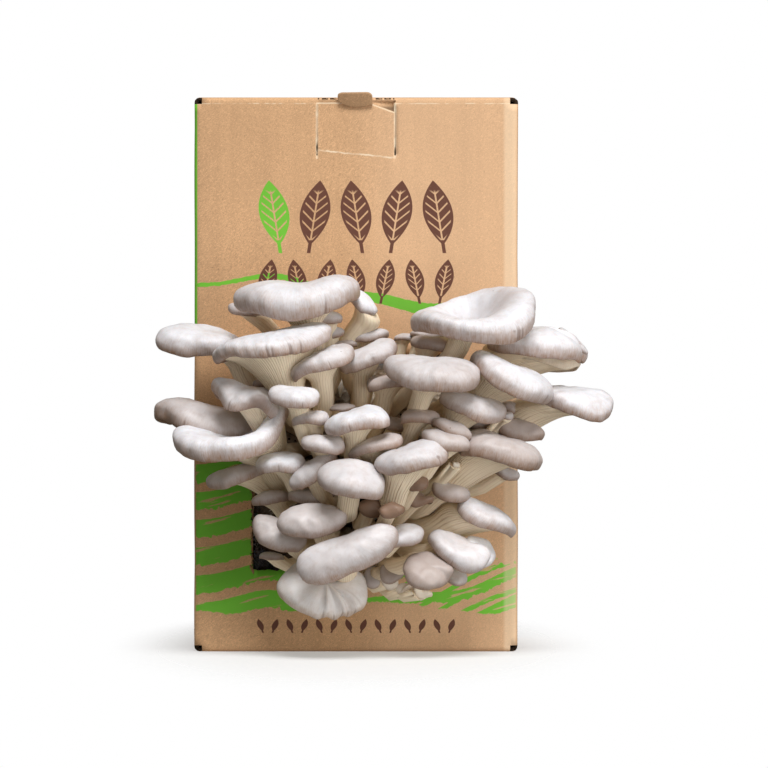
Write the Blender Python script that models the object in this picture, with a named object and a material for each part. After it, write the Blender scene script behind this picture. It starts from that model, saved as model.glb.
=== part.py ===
"""Oyster mushroom grow kit: a cardboard carton that stands on a table, the bagged block of substrate
inside it, and the crop of oyster mushrooms that grows out of the window cut in its front.

Lengths are in millimetres and are scaled to metres as each mesh is finished. X runs to the right of
someone who faces the carton, Y runs away from them and Z is up. The origin is the middle of the
carton's underside.
"""

import math
import random
from collections import namedtuple

import bmesh
import bpy
from mathutils import Matrix, Vector
from mathutils.bvhtree import BVHTree

MM = 0.001

# Carton
CARTON_WIDTH = 134.0
CARTON_DEPTH = 95.0
CARTON_HEIGHT = 230.0
BOARD = 1.6
FOLD_RADIUS = 1.6
FRONT = -CARTON_DEPTH / 2
WINDOW_WIDTH = 85.0
WINDOW_BOTTOM = 34.0
WINDOW_TOP = 123.0

# Tab pressed out of the top of the front, with the tongue that stands up from it
TAB_WIDTH = 32.4
TAB_DROP = 24.0
SLIT = 0.8
TONGUE_WIDTH = 14.4
TONGUE_FOOT = CARTON_HEIGHT - 3.8
TONGUE_TIP = CARTON_HEIGHT + 1.7
TONGUE_REACH = 2.4
TONGUE_BOARD = 1.2

# Bag and block, each loose inside the next thing out
CLEARANCE = 0.4
FILM = 0.5
BAG_TOP = 222.0
BAG_ROUNDING = 6.0
BAG_WINDOW_MARGIN = 1.5

# Where the mushrooms' places below are seen from
EYE_DISTANCE = 1600.0
EYE_RIGHT = 11.6
EYE_UP = 111.0

# Growth rules of the crop
CAP_SIDES = 9
BUD_SIDES = 8
BUD_WIDTH = 22.0
CUT_GAP = 0.6
FOOT_GAP = 0.35
STEM_CURL = 0.36
FAN_CENTRE_RIGHT = -8.0
FAN_CENTRE_UP = 25.0
FAN_LEAST = 8.0
FAN_DEPTH = 0.35
CAP_SWAY = 0.3
HOLLOW_ASIDE = 0.35
WINDOW_REACH = 37.0
FOOT_LOWEST = 40.0
FOOT_HIGHEST = 116.0

Mushroom = namedtuple(
    "Mushroom",
    "right up out width seen_height tilt dip bend flute drop aside stout pitch foot",
    defaults=(0.25, 0.0, 0.22, 0.4, 0.42, 1.0, None, None),
)

# Each mushroom's cap as it is seen against the carton's front: its middle, how far it stands out,
# its width and seen height, and its tilt in degrees (right side down). Then, in shares of the cap's
# thickness, how deep its middle dips, how far its two sides bend up and how far its rim waves; in
# widths, how far the gills run down to the stem; in half widths, how far aside the stem joins; how
# stout the stem is for its cap; and where the seen height alone doesn't tell, how many degrees the
# cap faces the viewer and where on the block its foot stands.
MUSHROOMS = (
    Mushroom(-24.5, 147, 38, 52.5, 20, -5, dip=0.45),
    Mushroom(-45.5, 141.5, 18, 15.5, 6, 5),
    Mushroom(-65, 128.5, 26, 34, 16, 6, aside=0.95),
    Mushroom(-35, 127.5, 46, 48.5, 11.5, -11, drop=0.42, stout=1.2),
    Mushroom(-44, 104, 42, 31, 12, 18, flute=0.35),
    Mushroom(-25.5, 105.5, 56, 22, 10, 5),
    Mushroom(-61.5, 95, 22, 44, 15, 12, aside=0.9),
    Mushroom(-51, 84.5, 42, 46, 18.5, -8, dip=0.9, bend=0.65, aside=0.9, stout=1.2),
    Mushroom(-31.5, 78, 44, 20.5, 10.5, -4, aside=0.7),
    Mushroom(-49.5, 73, 28, 27, 8, -18, aside=0.9),
    Mushroom(-17.5, 75, 48, 23, 9, -36),
    Mushroom(-13.5, 86, 54, 18, 9, 3),
    Mushroom(-18.5, 96.5, 52, 15, 7, -4),
    Mushroom(-13.5, 120, 46, 27.5, 10, -22),
    Mushroom(5, 122, 36, 26, 10, -20),
    Mushroom(5, 131, 20, 16.5, 6, -3),
    Mushroom(-11.5, 138.5, 30, 12.5, 6, 8),
    Mushroom(-10.5, 132.5, 26, 11, 5.5, 6),
    Mushroom(3, 144.5, 26, 14, 8, 40, aside=0.9, foot=(-16, 100)),
    Mushroom(50, 138.5, 42, 53, 27, -2, dip=1.0, bend=0.2, aside=0.15, drop=0.3),
    Mushroom(75, 127.5, 26, 38, 14.5, 6, aside=0.8, flute=0.4),
    Mushroom(76, 120, 16, 32, 7.5, 8, aside=0.9),
    Mushroom(64.5, 113, 46, 38, 13.5, 26, aside=0.6),
    Mushroom(91, 103.5, 30, 33, 14.5, 8, aside=0.95, stout=1.5),
    Mushroom(32, 115, 56, 38.5, 16.5, 5),
    Mushroom(14, 111.5, 38, 21.5, 7, -5),
    Mushroom(32.5, 127.5, 30, 20, 6.5, 4),
    Mushroom(48, 101.5, 46, 27.5, 11.5, 18),
    Mushroom(67, 92, 34, 22.5, 9, 15, aside=0.7),
    Mushroom(59.5, 83, 46, 36, 13.5, 14, aside=0.7, stout=1.4),
    Mushroom(26.5, 97, 50, 16.5, 7, 3),
    Mushroom(39.5, 92.5, 52, 17, 6.5, 22),
    Mushroom(37.5, 87, 56, 21, 8, 12),
    Mushroom(0.5, 95.5, 58, 27.5, 11.5, -12),
    Mushroom(8.5, 85.5, 54, 24, 7, -18),
    Mushroom(23, 80, 62, 29.5, 14, -14),
    Mushroom(-2, 71, 62, 30, 17, 10, dip=-0.4),
    Mushroom(6, 59.5, 48, 11, 8.5, 10),
    Mushroom(15, 58.5, 46, 10.5, 7, -5),
    Mushroom(25.5, 69.5, 44, 9.5, 6.5, -10),
    Mushroom(25, 62.5, 46, 12, 7, 15),
    Mushroom(39, 66, 42, 17.5, 8, 15, aside=0.7),
    Mushroom(54.5, 55.5, 40, 26.5, 11, 28, aside=0.95, stout=1.7),
    Mushroom(42, 42.5, 46, 25.5, 16, 28, dip=0.6, pitch=38),
    Mushroom(-3.5, 41, 58, 43, 20.5, -22, pitch=45),
    Mushroom(-13.5, 26.5, 38, 38.5, 27, 12, dip=0.4, flute=0.4, pitch=52),
    Mushroom(-18, 54.5, 52, 29, 16, -5, pitch=38),
    Mushroom(-32, 49, 40, 24, 15, 20, pitch=40),
    Mushroom(-35.5, 63.5, 30, 16, 6.5, -8),
    Mushroom(-18.5, 64.5, 36, 19.5, 7, -3),
    Mushroom(19.5, 48, 52, 16.5, 11.5, -15, pitch=40),
    Mushroom(29.5, 33.5, 42, 20.5, 17, 18, pitch=50),
    Mushroom(42, 31, 30, 9, 8.5, 10, pitch=40),
    Mushroom(15, 33, 34, 11, 10, -10, pitch=45),
    Mushroom(52.5, 94, 30, 11.5, 5, 5),
    Mushroom(17, 94, 32, 11.5, 7, 20),
)

# Stations along a mushroom's skin, from the middle of the cap over its rim (0 to 1), in under the
# gills (1 to 2) and down the stem to its foot (2 to 3)
STATIONS = (0.0, 0.36, 0.6, 0.78, 1.0, 1.45, 2.0, 2.5, 3.0)


def material(name, colour, roughness):
    made = bpy.data.materials.new(name)
    made.use_nodes = True
    shader = made.node_tree.nodes["Principled BSDF"]
    shader.inputs["Base Color"].default_value = (*colour, 1.0)
    shader.inputs["Roughness"].default_value = roughness
    shader.inputs["Metallic"].default_value = 0.0
    return made


def finish(name, bm, look):
    """Turns a bmesh in millimetres into a named object in metres."""
    bmesh.ops.scale(bm, vec=(MM, MM, MM), verts=bm.verts)
    mesh = bpy.data.meshes.new(name)
    bm.to_mesh(mesh)
    bm.free()
    made = bpy.data.objects.new(name, mesh)
    bpy.context.scene.collection.objects.link(made)
    if look:
        mesh.materials.append(look)
    return made


def helper(name, bm):
    """A cutter or a piece to be joined on, which is no node of its own."""
    made = finish(name, bm, None)
    made.hide_render = True
    made.display_type = "WIRE"
    return made


def block(low, high, rounding=0.0, segments=2):
    """A bmesh box between two corners, with its edges rounded."""
    bm = bmesh.new()
    bmesh.ops.create_cube(bm, size=1.0)
    low = Vector(low)
    high = Vector(high)
    bmesh.ops.scale(bm, vec=high - low, verts=bm.verts)
    bmesh.ops.translate(bm, vec=(low + high) / 2, verts=bm.verts)
    if rounding:
        bmesh.ops.bevel(
            bm,
            geom=bm.edges[:],
            offset=rounding,
            offset_type="OFFSET",
            segments=segments,
            profile=0.5,
            affect="EDGES",
            material=-1,
        )
    return bm


def boolean(target, operation, other, folded=False):
    """Folded is for shapes whose skin may cross itself, as a cap's rim can under its own gills."""
    step = target.modifiers.new(other.name, "BOOLEAN")
    step.operation = operation
    step.solver = "EXACT"
    step.use_self = folded
    step.object = other


def inner_box(inset, top):
    """Corners of the upright box that stands `inset` inside the carton's faces."""
    half_width = CARTON_WIDTH / 2 - inset
    half_depth = CARTON_DEPTH / 2 - inset
    return (-half_width, -half_depth, inset), (half_width, half_depth, top)


def make_carton(look):
    outside = block(*inner_box(0.0, CARTON_HEIGHT), FOLD_RADIUS)
    carton = finish("carton", outside, look)
    hollow = helper("carton_hollow", block(*inner_box(BOARD, CARTON_HEIGHT - BOARD)))
    boolean(carton, "DIFFERENCE", hollow)
    through = 3 * BOARD
    half = WINDOW_WIDTH / 2
    window = block((-half, FRONT - through, WINDOW_BOTTOM), (half, FRONT + through, WINDOW_TOP))
    boolean(carton, "DIFFERENCE", helper("window_cutter", window))
    fold = CARTON_HEIGHT - FOLD_RADIUS
    back = FRONT + 2 * BOARD
    for side in (-1, 1):
        middle = side * TAB_WIDTH / 2
        low = (middle - SLIT / 2, FRONT - BOARD, CARTON_HEIGHT - TAB_DROP)
        high = (middle + SLIT / 2, back, CARTON_HEIGHT + BOARD)
        boolean(carton, "DIFFERENCE", helper(f"tab_side_cutter_{side}", block(low, high)))
    top_low = (-TAB_WIDTH / 2, FRONT - BOARD, fold - SLIT / 2)
    top_high = (TAB_WIDTH / 2, back, fold + SLIT / 2)
    boolean(carton, "DIFFERENCE", helper("tab_top_cutter", block(top_low, top_high)))
    boolean(carton, "UNION", make_tongue())
    return carton


def make_tongue():
    """The tongue leans forward out of the tab, and clears the top fold behind it."""
    rise = TONGUE_TIP - TONGUE_FOOT
    lean = math.atan2(TONGUE_REACH, rise)
    length = rise / math.cos(lean)
    half = TONGUE_WIDTH / 2
    tongue = block((-half, -TONGUE_BOARD / 2, 0), (half, TONGUE_BOARD / 2, length))
    bmesh.ops.rotate(tongue, cent=(0, 0, 0), matrix=Matrix.Rotation(lean, 3, "X"), verts=tongue.verts)
    bmesh.ops.translate(tongue, vec=(0, FRONT + 0.2, TONGUE_FOOT), verts=tongue.verts)
    return helper("tongue", tongue)


def make_bag(look):
    """Film round the block, with a window that matches the carton's."""
    inset = BOARD + CLEARANCE
    bag = finish("grow_bag", block(*inner_box(inset, BAG_TOP), BAG_ROUNDING, 1), look)
    inside = block(*inner_box(inset + FILM, BAG_TOP - FILM), BAG_ROUNDING - FILM, 1)
    boolean(bag, "DIFFERENCE", helper("bag_hollow", inside))
    half = WINDOW_WIDTH / 2 - BAG_WINDOW_MARGIN
    low = (-half, FRONT - 1.0, WINDOW_BOTTOM + BAG_WINDOW_MARGIN)
    high = (half, FRONT + 3 * inset, WINDOW_TOP - BAG_WINDOW_MARGIN)
    boolean(bag, "DIFFERENCE", helper("bag_window_cutter", block(low, high)))
    return bag


def block_inset():
    return BOARD + CLEARANCE + FILM + CLEARANCE


def make_substrate(look):
    gap = FILM + CLEARANCE
    solid = block(*inner_box(block_inset(), BAG_TOP - gap), BAG_ROUNDING - gap, 1)
    return finish("substrate_block", solid, look)


def true_place(plan):
    """The cap's middle: on the line of sight through its seen place, `out` ahead of the front."""
    seen = Vector((plan.right, FRONT, plan.up))
    eye = Vector((EYE_RIGHT, FRONT - EYE_DISTANCE, EYE_UP))
    return seen.lerp(eye, plan.out / EYE_DISTANCE)


def foot_place(plan):
    """Where the stem leaves the block: the crop fans out from a smaller patch in the window."""
    right, up = plan.foot or (0.44 * plan.right - 2.0, 0.58 * plan.up + 24.0)
    right = max(-WINDOW_REACH, min(WINDOW_REACH, right))
    up = max(FOOT_LOWEST, min(FOOT_HIGHEST, up))
    return Vector((right, FRONT + block_inset() - FOOT_GAP, up))


class Form:
    """The shape of one mushroom as a function: place(angle, station) is a point of its skin."""

    def __init__(self, plan, seed):
        draw = random.Random(seed)
        shrink = 1 - plan.out / EYE_DISTANCE
        self.half_width = plan.width * shrink / 2
        self.thick = min(0.27 * 2 * self.half_width + 1.5, 0.85 * plan.seen_height)
        self.stem = plan.stout * (2.2 + 0.08 * 2 * self.half_width)
        self.dip, self.bend, self.flute = plan.dip, plan.bend, plan.flute
        self.waves = [draw.uniform(0, math.tau) for _ in range(5)]
        self.middle = true_place(plan)
        lean = self.lean_for(1.06 * plan.seen_height * shrink, plan.pitch)
        turn = Matrix.Rotation(math.radians(plan.tilt), 3, "Y") @ Matrix.Rotation(lean, 3, "X")
        self.across, self.back, self.normal = (turn.col[i].copy() for i in range(3))
        self.foot = foot_place(plan)
        to_foot = self.foot - self.middle
        toward = Vector((to_foot.dot(self.across), to_foot.dot(self.back)))
        toward = toward.normalized() if toward.length > 1e-6 else Vector((0.0, 1.0))
        self.toward = math.atan2(toward.y, toward.x)
        self.aside = plan.aside
        self.joint = Vector((self.half_width * toward.x, self.half_length * toward.y)) * self.aside
        self.hollow = self.joint * min(1.0, HOLLOW_ASIDE / self.aside)
        fan_up = max(FAN_LEAST, plan.up - FAN_CENTRE_UP)
        fan = Vector((plan.right - FAN_CENTRE_RIGHT, -FAN_DEPTH * plan.out, fan_up))
        into_cap = fan.normalized().lerp(self.normal, CAP_SWAY).normalized()
        drop = plan.drop * 2 * self.half_width
        self.collar = self.in_cap(self.joint.x, self.joint.y, 0) - into_cap * drop
        reach = (self.collar - self.foot).length * STEM_CURL
        self.stem_line = (
            self.foot,
            self.foot + Vector((0, -1, 0)) * reach,
            self.collar - into_cap * reach,
            self.collar,
        )

    def lean_for(self, seen_height, pitch):
        """The lean towards the viewer and the cap's length that together show its seen height."""
        tall = 0.9 * self.thick
        if pitch is None:
            self.half_length = 0.74 * self.half_width
            length = 2 * self.half_length
            share = min(0.95, seen_height / math.hypot(length, tall))
            return math.asin(share) - math.atan2(tall, length)
        lean = math.radians(pitch)
        length = (seen_height - tall * math.cos(lean)) / math.sin(lean)
        self.half_length = max(0.45 * self.half_width, length / 2)
        return lean

    def in_cap(self, x, y, z):
        return self.middle + self.across * x + self.back * y + self.normal * z

    def outline(self, angle):
        """The rim's distance from the middle, as a share, with a bay where the stem joins."""
        first, second, third = self.waves[:3]
        wobble = 0.05 * math.sin(2 * angle + first) + 0.03 * math.sin(3 * angle + second)
        wobble += 0.015 * math.sin(5 * angle + third)
        away = math.remainder(angle - self.toward, math.tau)
        bay = 0.12 - 0.5 * max(0.0, self.aside - 0.45)
        return 1 + wobble - bay * math.exp(-((away / 0.6) ** 2))

    def skin(self, angle, share, height):
        """A point of the cap: share runs from the middle to the rim, height is in cap thicknesses."""
        rim = self.outline(angle)
        x = self.half_width * rim * share * math.cos(angle)
        y = self.half_length * rim * share * math.sin(angle)
        fourth, fifth = self.waves[3:]
        lift = 0.5 * math.sin(2 * angle + fourth) + 0.35 * math.sin(3 * angle + fifth)
        lift = self.flute * lift + self.bend * math.cos(angle) ** 2
        z = self.thick * (height + share * share * lift)
        offset = Vector((x, y)) - self.hollow
        spread = 0.55 * self.half_width
        sink = math.exp(-offset.length_squared / (spread * spread)) * max(0.0, height)
        return self.in_cap(x, y, z - self.dip * self.thick * sink)

    def cap_section(self, station):
        """Share and height of the cap's cross-section: a bun whose edge rolls in underneath."""
        if station <= 0.75:
            swing = station / 0.75 * math.pi / 2
            return math.sin(swing) ** 0.8, 0.62 * math.cos(swing) ** 0.9
        swing = (station - 0.75) / 0.25 * math.radians(150)
        return 1 - 0.07 * (1 - math.cos(swing)), -0.3 * math.sin(swing)

    def stem_frame(self, share):
        """Point and ring axes of the stem at a share of its length, from foot (0) to collar (1)."""
        a, b, c, d = self.stem_line
        rest = 1 - share
        point = a * rest**3 + b * 3 * rest**2 * share + c * 3 * rest * share**2 + d * share**3
        along = (b - a) * rest**2 + (c - b) * 2 * rest * share + (d - c) * share**2
        turn = self.normal.rotation_difference(along.normalized())
        return point, turn @ self.across, turn @ self.back

    def stem_ring(self, angle, share):
        point, across, back = self.stem_frame(share)
        radius = self.stem * (0.75 + 0.25 * share)
        return point + (across * math.cos(angle) + back * math.sin(angle)) * radius

    def place(self, angle, station):
        if station <= 1:
            return self.skin(angle, *self.cap_section(station))
        if station >= 2:
            return self.stem_ring(angle, 3 - station)
        share = station - 1
        lip = self.skin(angle, *self.cap_section(1.0))
        wide = self.stem + 0.3 * self.half_width
        knee_x = self.joint.x + wide * math.cos(angle)
        knee_y = self.joint.y + wide * math.sin(angle)
        knee = self.in_cap(knee_x, knee_y, -0.25 * self.thick)
        collar = self.stem_ring(angle, 1.0)
        return lip.lerp(knee, share).lerp(knee.lerp(collar, share), share)


def grow(form, sides, swell=0.0):
    """The mushroom as a closed bmesh: a ladder of rings spun round, each point moved to its place.

    Its faces aren't flat, so they are split into triangles before anything is cut with them.
    """
    bm = bmesh.new()
    last = len(STATIONS) - 1
    rungs = [bm.verts.new((float(0 < i < last), 0, i)) for i in range(len(STATIONS))]
    rails = [bm.edges.new(pair) for pair in zip(rungs, rungs[1:])]
    bmesh.ops.spin(
        bm,
        geom=rungs + rails,
        cent=(0, 0, 0),
        axis=(0, 0, 1),
        dvec=(0, 0, 0),
        angle=math.tau,
        steps=sides,
        use_merge=True,
    )
    bmesh.ops.remove_doubles(bm, verts=bm.verts, dist=0.001)
    for vert in bm.verts:
        angle = math.atan2(vert.co.y, vert.co.x)
        station = STATIONS[round(vert.co.z)]
        if round(vert.co.z) in (0, last):
            vert.co = (form.place(0, station) + form.place(math.pi, station)) / 2
        else:
            vert.co = form.place(angle, station)
    bmesh.ops.recalc_face_normals(bm, faces=bm.faces)
    if bm.calc_volume(signed=True) < 0:
        bmesh.ops.reverse_faces(bm, faces=bm.faces)
    bmesh.ops.triangulate(bm, faces=bm.faces)
    if swell:
        bm.normal_update()
        for vert, normal in [(v, v.normal.copy()) for v in bm.verts]:
            vert.co += normal * swell
    return bm


def keep_largest(bm):
    """Drops every loose island of a bmesh but the one that fills the most room."""
    left = set(bm.verts)
    islands = []
    while left:
        island = set()
        front = [left.pop()]
        while front:
            vert = front.pop()
            island.add(vert)
            near = {edge.other_vert(vert) for edge in vert.link_edges} & left
            left -= near
            front.extend(near)
        islands.append(island)
    islands.sort(key=room_of)
    for island in islands[:-1]:
        bmesh.ops.delete(bm, geom=list(island), context="VERTS")


def room_of(verts):
    sizes = [max(v.co[i] for v in verts) - min(v.co[i] for v in verts) for i in range(3)]
    return sizes[0] * sizes[1] * sizes[2]


def tree_of(made):
    shape = bmesh.new()
    shape.from_mesh(made.data)
    tree = BVHTree.FromBMesh(shape)
    shape.free()
    return tree


def cut_back(made, others):
    """Cuts a mushroom away where other shapes reach into it, and bakes the result."""
    tree = tree_of(made)
    touching = [other for other, other_tree in others if tree.overlap(other_tree)]
    if not touching:
        return
    for other in touching:
        boolean(made, "DIFFERENCE", other, folded=True)
    graph = bpy.context.evaluated_depsgraph_get()
    mesh = bpy.data.meshes.new_from_object(made.evaluated_get(graph))
    made.modifiers.clear()
    cut = bmesh.new()
    cut.from_mesh(mesh)
    keep_largest(cut)
    bmesh.ops.triangulate(cut, faces=cut.faces)
    cut.to_mesh(made.data)
    cut.free()


def make_crop(look):
    """Every mushroom is a node. The ones that stand out furthest keep their whole shape.

    The others give way to a swollen copy of each of them, which leaves the gap, and then to the
    mushroom itself, for the sharp inner folds that swelling doesn't reach.
    """
    swollen, grown = [], []
    for number, plan in sorted(enumerate(MUSHROOMS, 1), key=lambda entry: -entry[1].out):
        form = Form(plan, number)
        sides = BUD_SIDES if plan.width < BUD_WIDTH else CAP_SIDES
        name = f"mushroom_{number:02d}"
        made = finish(name, grow(form, sides), look)
        cut_back(made, swollen)
        cut_back(made, grown)
        cutter = helper(f"{name}_cutter", grow(form, sides, CUT_GAP))
        swollen.append((cutter, tree_of(cutter)))
        grown.append((made, tree_of(made)))


def main():
    for old in list(bpy.data.objects):
        bpy.data.objects.remove(old)
    make_carton(material("kraft_board", (0.60, 0.39, 0.22), 0.85))
    make_bag(material("bag_film", (0.55, 0.56, 0.60), 0.25))
    make_substrate(material("substrate", (0.10, 0.06, 0.04), 0.95))
    make_crop(material("mushroom_flesh", (0.76, 0.70, 0.66), 0.55))


main()
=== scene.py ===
"""Looks of the oyster mushroom grow kit: its printed carton, the bag and block inside, and the crop.

Shapes are worked out in millimetres and made metres as each piece is finished. X runs to the right of
someone who faces the carton, Y runs away from them and Z is up. The origin is the middle of the
carton's underside.
"""

import math
import random
from collections import namedtuple

import bmesh
import bpy
import numpy as np
from mathutils import Matrix, Vector


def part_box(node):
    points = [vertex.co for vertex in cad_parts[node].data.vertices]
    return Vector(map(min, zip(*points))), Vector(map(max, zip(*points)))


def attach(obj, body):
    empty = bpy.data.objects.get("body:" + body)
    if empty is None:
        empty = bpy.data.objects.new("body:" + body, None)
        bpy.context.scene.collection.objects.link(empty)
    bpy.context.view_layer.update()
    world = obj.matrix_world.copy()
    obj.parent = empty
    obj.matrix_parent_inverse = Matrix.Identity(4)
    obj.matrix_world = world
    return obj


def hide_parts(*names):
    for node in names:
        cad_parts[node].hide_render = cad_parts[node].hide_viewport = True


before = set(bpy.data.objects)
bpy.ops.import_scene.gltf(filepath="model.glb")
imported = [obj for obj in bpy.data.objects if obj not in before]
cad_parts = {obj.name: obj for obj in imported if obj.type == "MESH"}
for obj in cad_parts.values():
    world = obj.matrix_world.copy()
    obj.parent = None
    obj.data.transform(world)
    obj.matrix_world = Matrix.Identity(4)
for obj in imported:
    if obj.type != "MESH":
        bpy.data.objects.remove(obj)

bl_info = {
    "name": "Oyster Mushroom Grow Kit",
    "version": (1, 0, 0),
    "blender": (4, 5, 0),
    "location": "View3D > Sidebar > Grow Kit",
    "description": "Carton, bag, block and crop of an oyster mushroom grow kit",
    "category": "Object",
}

MM = 0.001
CARTON_LOW, CARTON_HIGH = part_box("carton")
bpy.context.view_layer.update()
X_AXIS, Y_AXIS, Z_AXIS = Vector((1, 0, 0)), Vector((0, 1, 0)), Vector((0, 0, 1))

# The carton's front, its window, and the tab at its top with the tongue in it
FRONT = -47.5
HALF_WINDOW = 42.5
WINDOW_BOTTOM = 34.0
WINDOW_TOP = 123.0
HALF_TAB = 16.2
TAB_DROP = 24.0
HALF_TONGUE = 7.2

# The tab's side slits, which end below the top, and the pierced line along its top fold
HALF_SLIT = 0.3
SLIT_END = 2.6
DASH_START = 8.2
DASH_STEP = 3.6
DASH_LENGTH = 2.8
DASH_LOW = 1.0
DASH_HIGH = 0.35

# The small gaps at the corners of the front and back, and the narrow lip of board that stays there
NOTCH_WIDTH = 3.1
NOTCH_FOOT = 2.6
NOTCH_DROP = 2.9
NOTCH_LIP = 0.3

# The bag, its film and the block of substrate in it
BAG_INSET = 2.25
BAG_TOP = 221.5
FILM = 0.12
BLOCK_INSET = 2.9
BLOCK_TOP = 221.0

# Where the mushrooms' places are seen from, and how wide the view is at the carton's front
EYE_DISTANCE = 1600.0
EYE = Vector((11.6, FRONT - EYE_DISTANCE, 111.0))
VIEW_WIDTH = 318.5
SENSOR_WIDTH = 36.0

# The stage in metres: half the floor, what the lights point at, and their places and sizes
FLOOR_REACH = 4.0
AIM = (0.0, -0.05, 0.11)
KEY_PLACE = (0.16, -0.95, 1.5)
KEY_ANGLE = math.radians(30)
FILL_PLACE = (0.45, -0.55, 0.12)
FILL_SIZE = 0.5

# The light from all round is a little warm
SKY_TINT = (1.05, 0.98, 0.86)

# The board with painted light: paler towards the front's right, and a painted highlight where it bends
# back by the right fold. Torn paper, which also serves as a painted highlight along the tab's crease, and
# the bare flutes beside the window with painted shade in the gaps between them
PAINTED_LIGHT_KRAFT = (0.83, 0.56, 0.36)
PAINTED_FOLD_HIGHLIGHT = (0.95, 0.78, 0.56)
TORN_PAPER_AND_HIGHLIGHT = (0.88, 0.72, 0.52)
RAW_FLUTE = (0.24, 0.13, 0.065)
PAINTED_GAP_SHADE = (0.02, 0.012, 0.008)

# Scars and specks on the mushrooms; the scar colour also paints the shadow inside one cap's hollow
SCAR_AND_SHADOW = (0.22, 0.15, 0.12)
SPECK = (0.13, 0.07, 0.04)

# Rings of a mushroom's mesh over its cap, round its rim, under it and down its stem, for those wider
# than FINE_FROM and for the others. Gills come in steps, so that like mushrooms share one mesh.
FINE_RINGS = (14, 9, 13, 11)
FEW_RINGS = (8, 6, 8, 7)
FINE_FROM = 20
GILL_STEP = 12
MOST_GILLS = 84

# Growth rules of the crop. Caps and stems start at a thickness and grow by a share of the width. Stems
# fan out from a centre low in the window, and their feet stay within it.
THIN_CAP = 1.5
CAP_SHARE = 0.27
THIN_STEM = 2.2
STEM_SHARE = 0.08
CAP_LENGTH = 0.74
STEM_CURL = 0.36
FAN_CENTRE_RIGHT = -8.0
FAN_CENTRE_UP = 25.0
FAN_LEAST = 8.0
FAN_DEPTH = 0.35
FAN_FORWARD = 0.25
CAP_SWAY = 0.3
HOLLOW_ASIDE = 0.35
WINDOW_REACH = 37.0
FOOT_LOWEST = 40.0
FOOT_HIGHEST = 116.0
FOOT_GAP = 0.35

Mushroom = namedtuple(
    "Mushroom",
    "right up out width seen_height tilt dip bend flute drop aside stout pitch foot"
    " tone lobes splits scars fan",
    defaults=(0.1, 0.0, 0.2, 0.28, 0.42, 1.0, None, None, 0.25, (), (), (), None),
)

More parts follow.
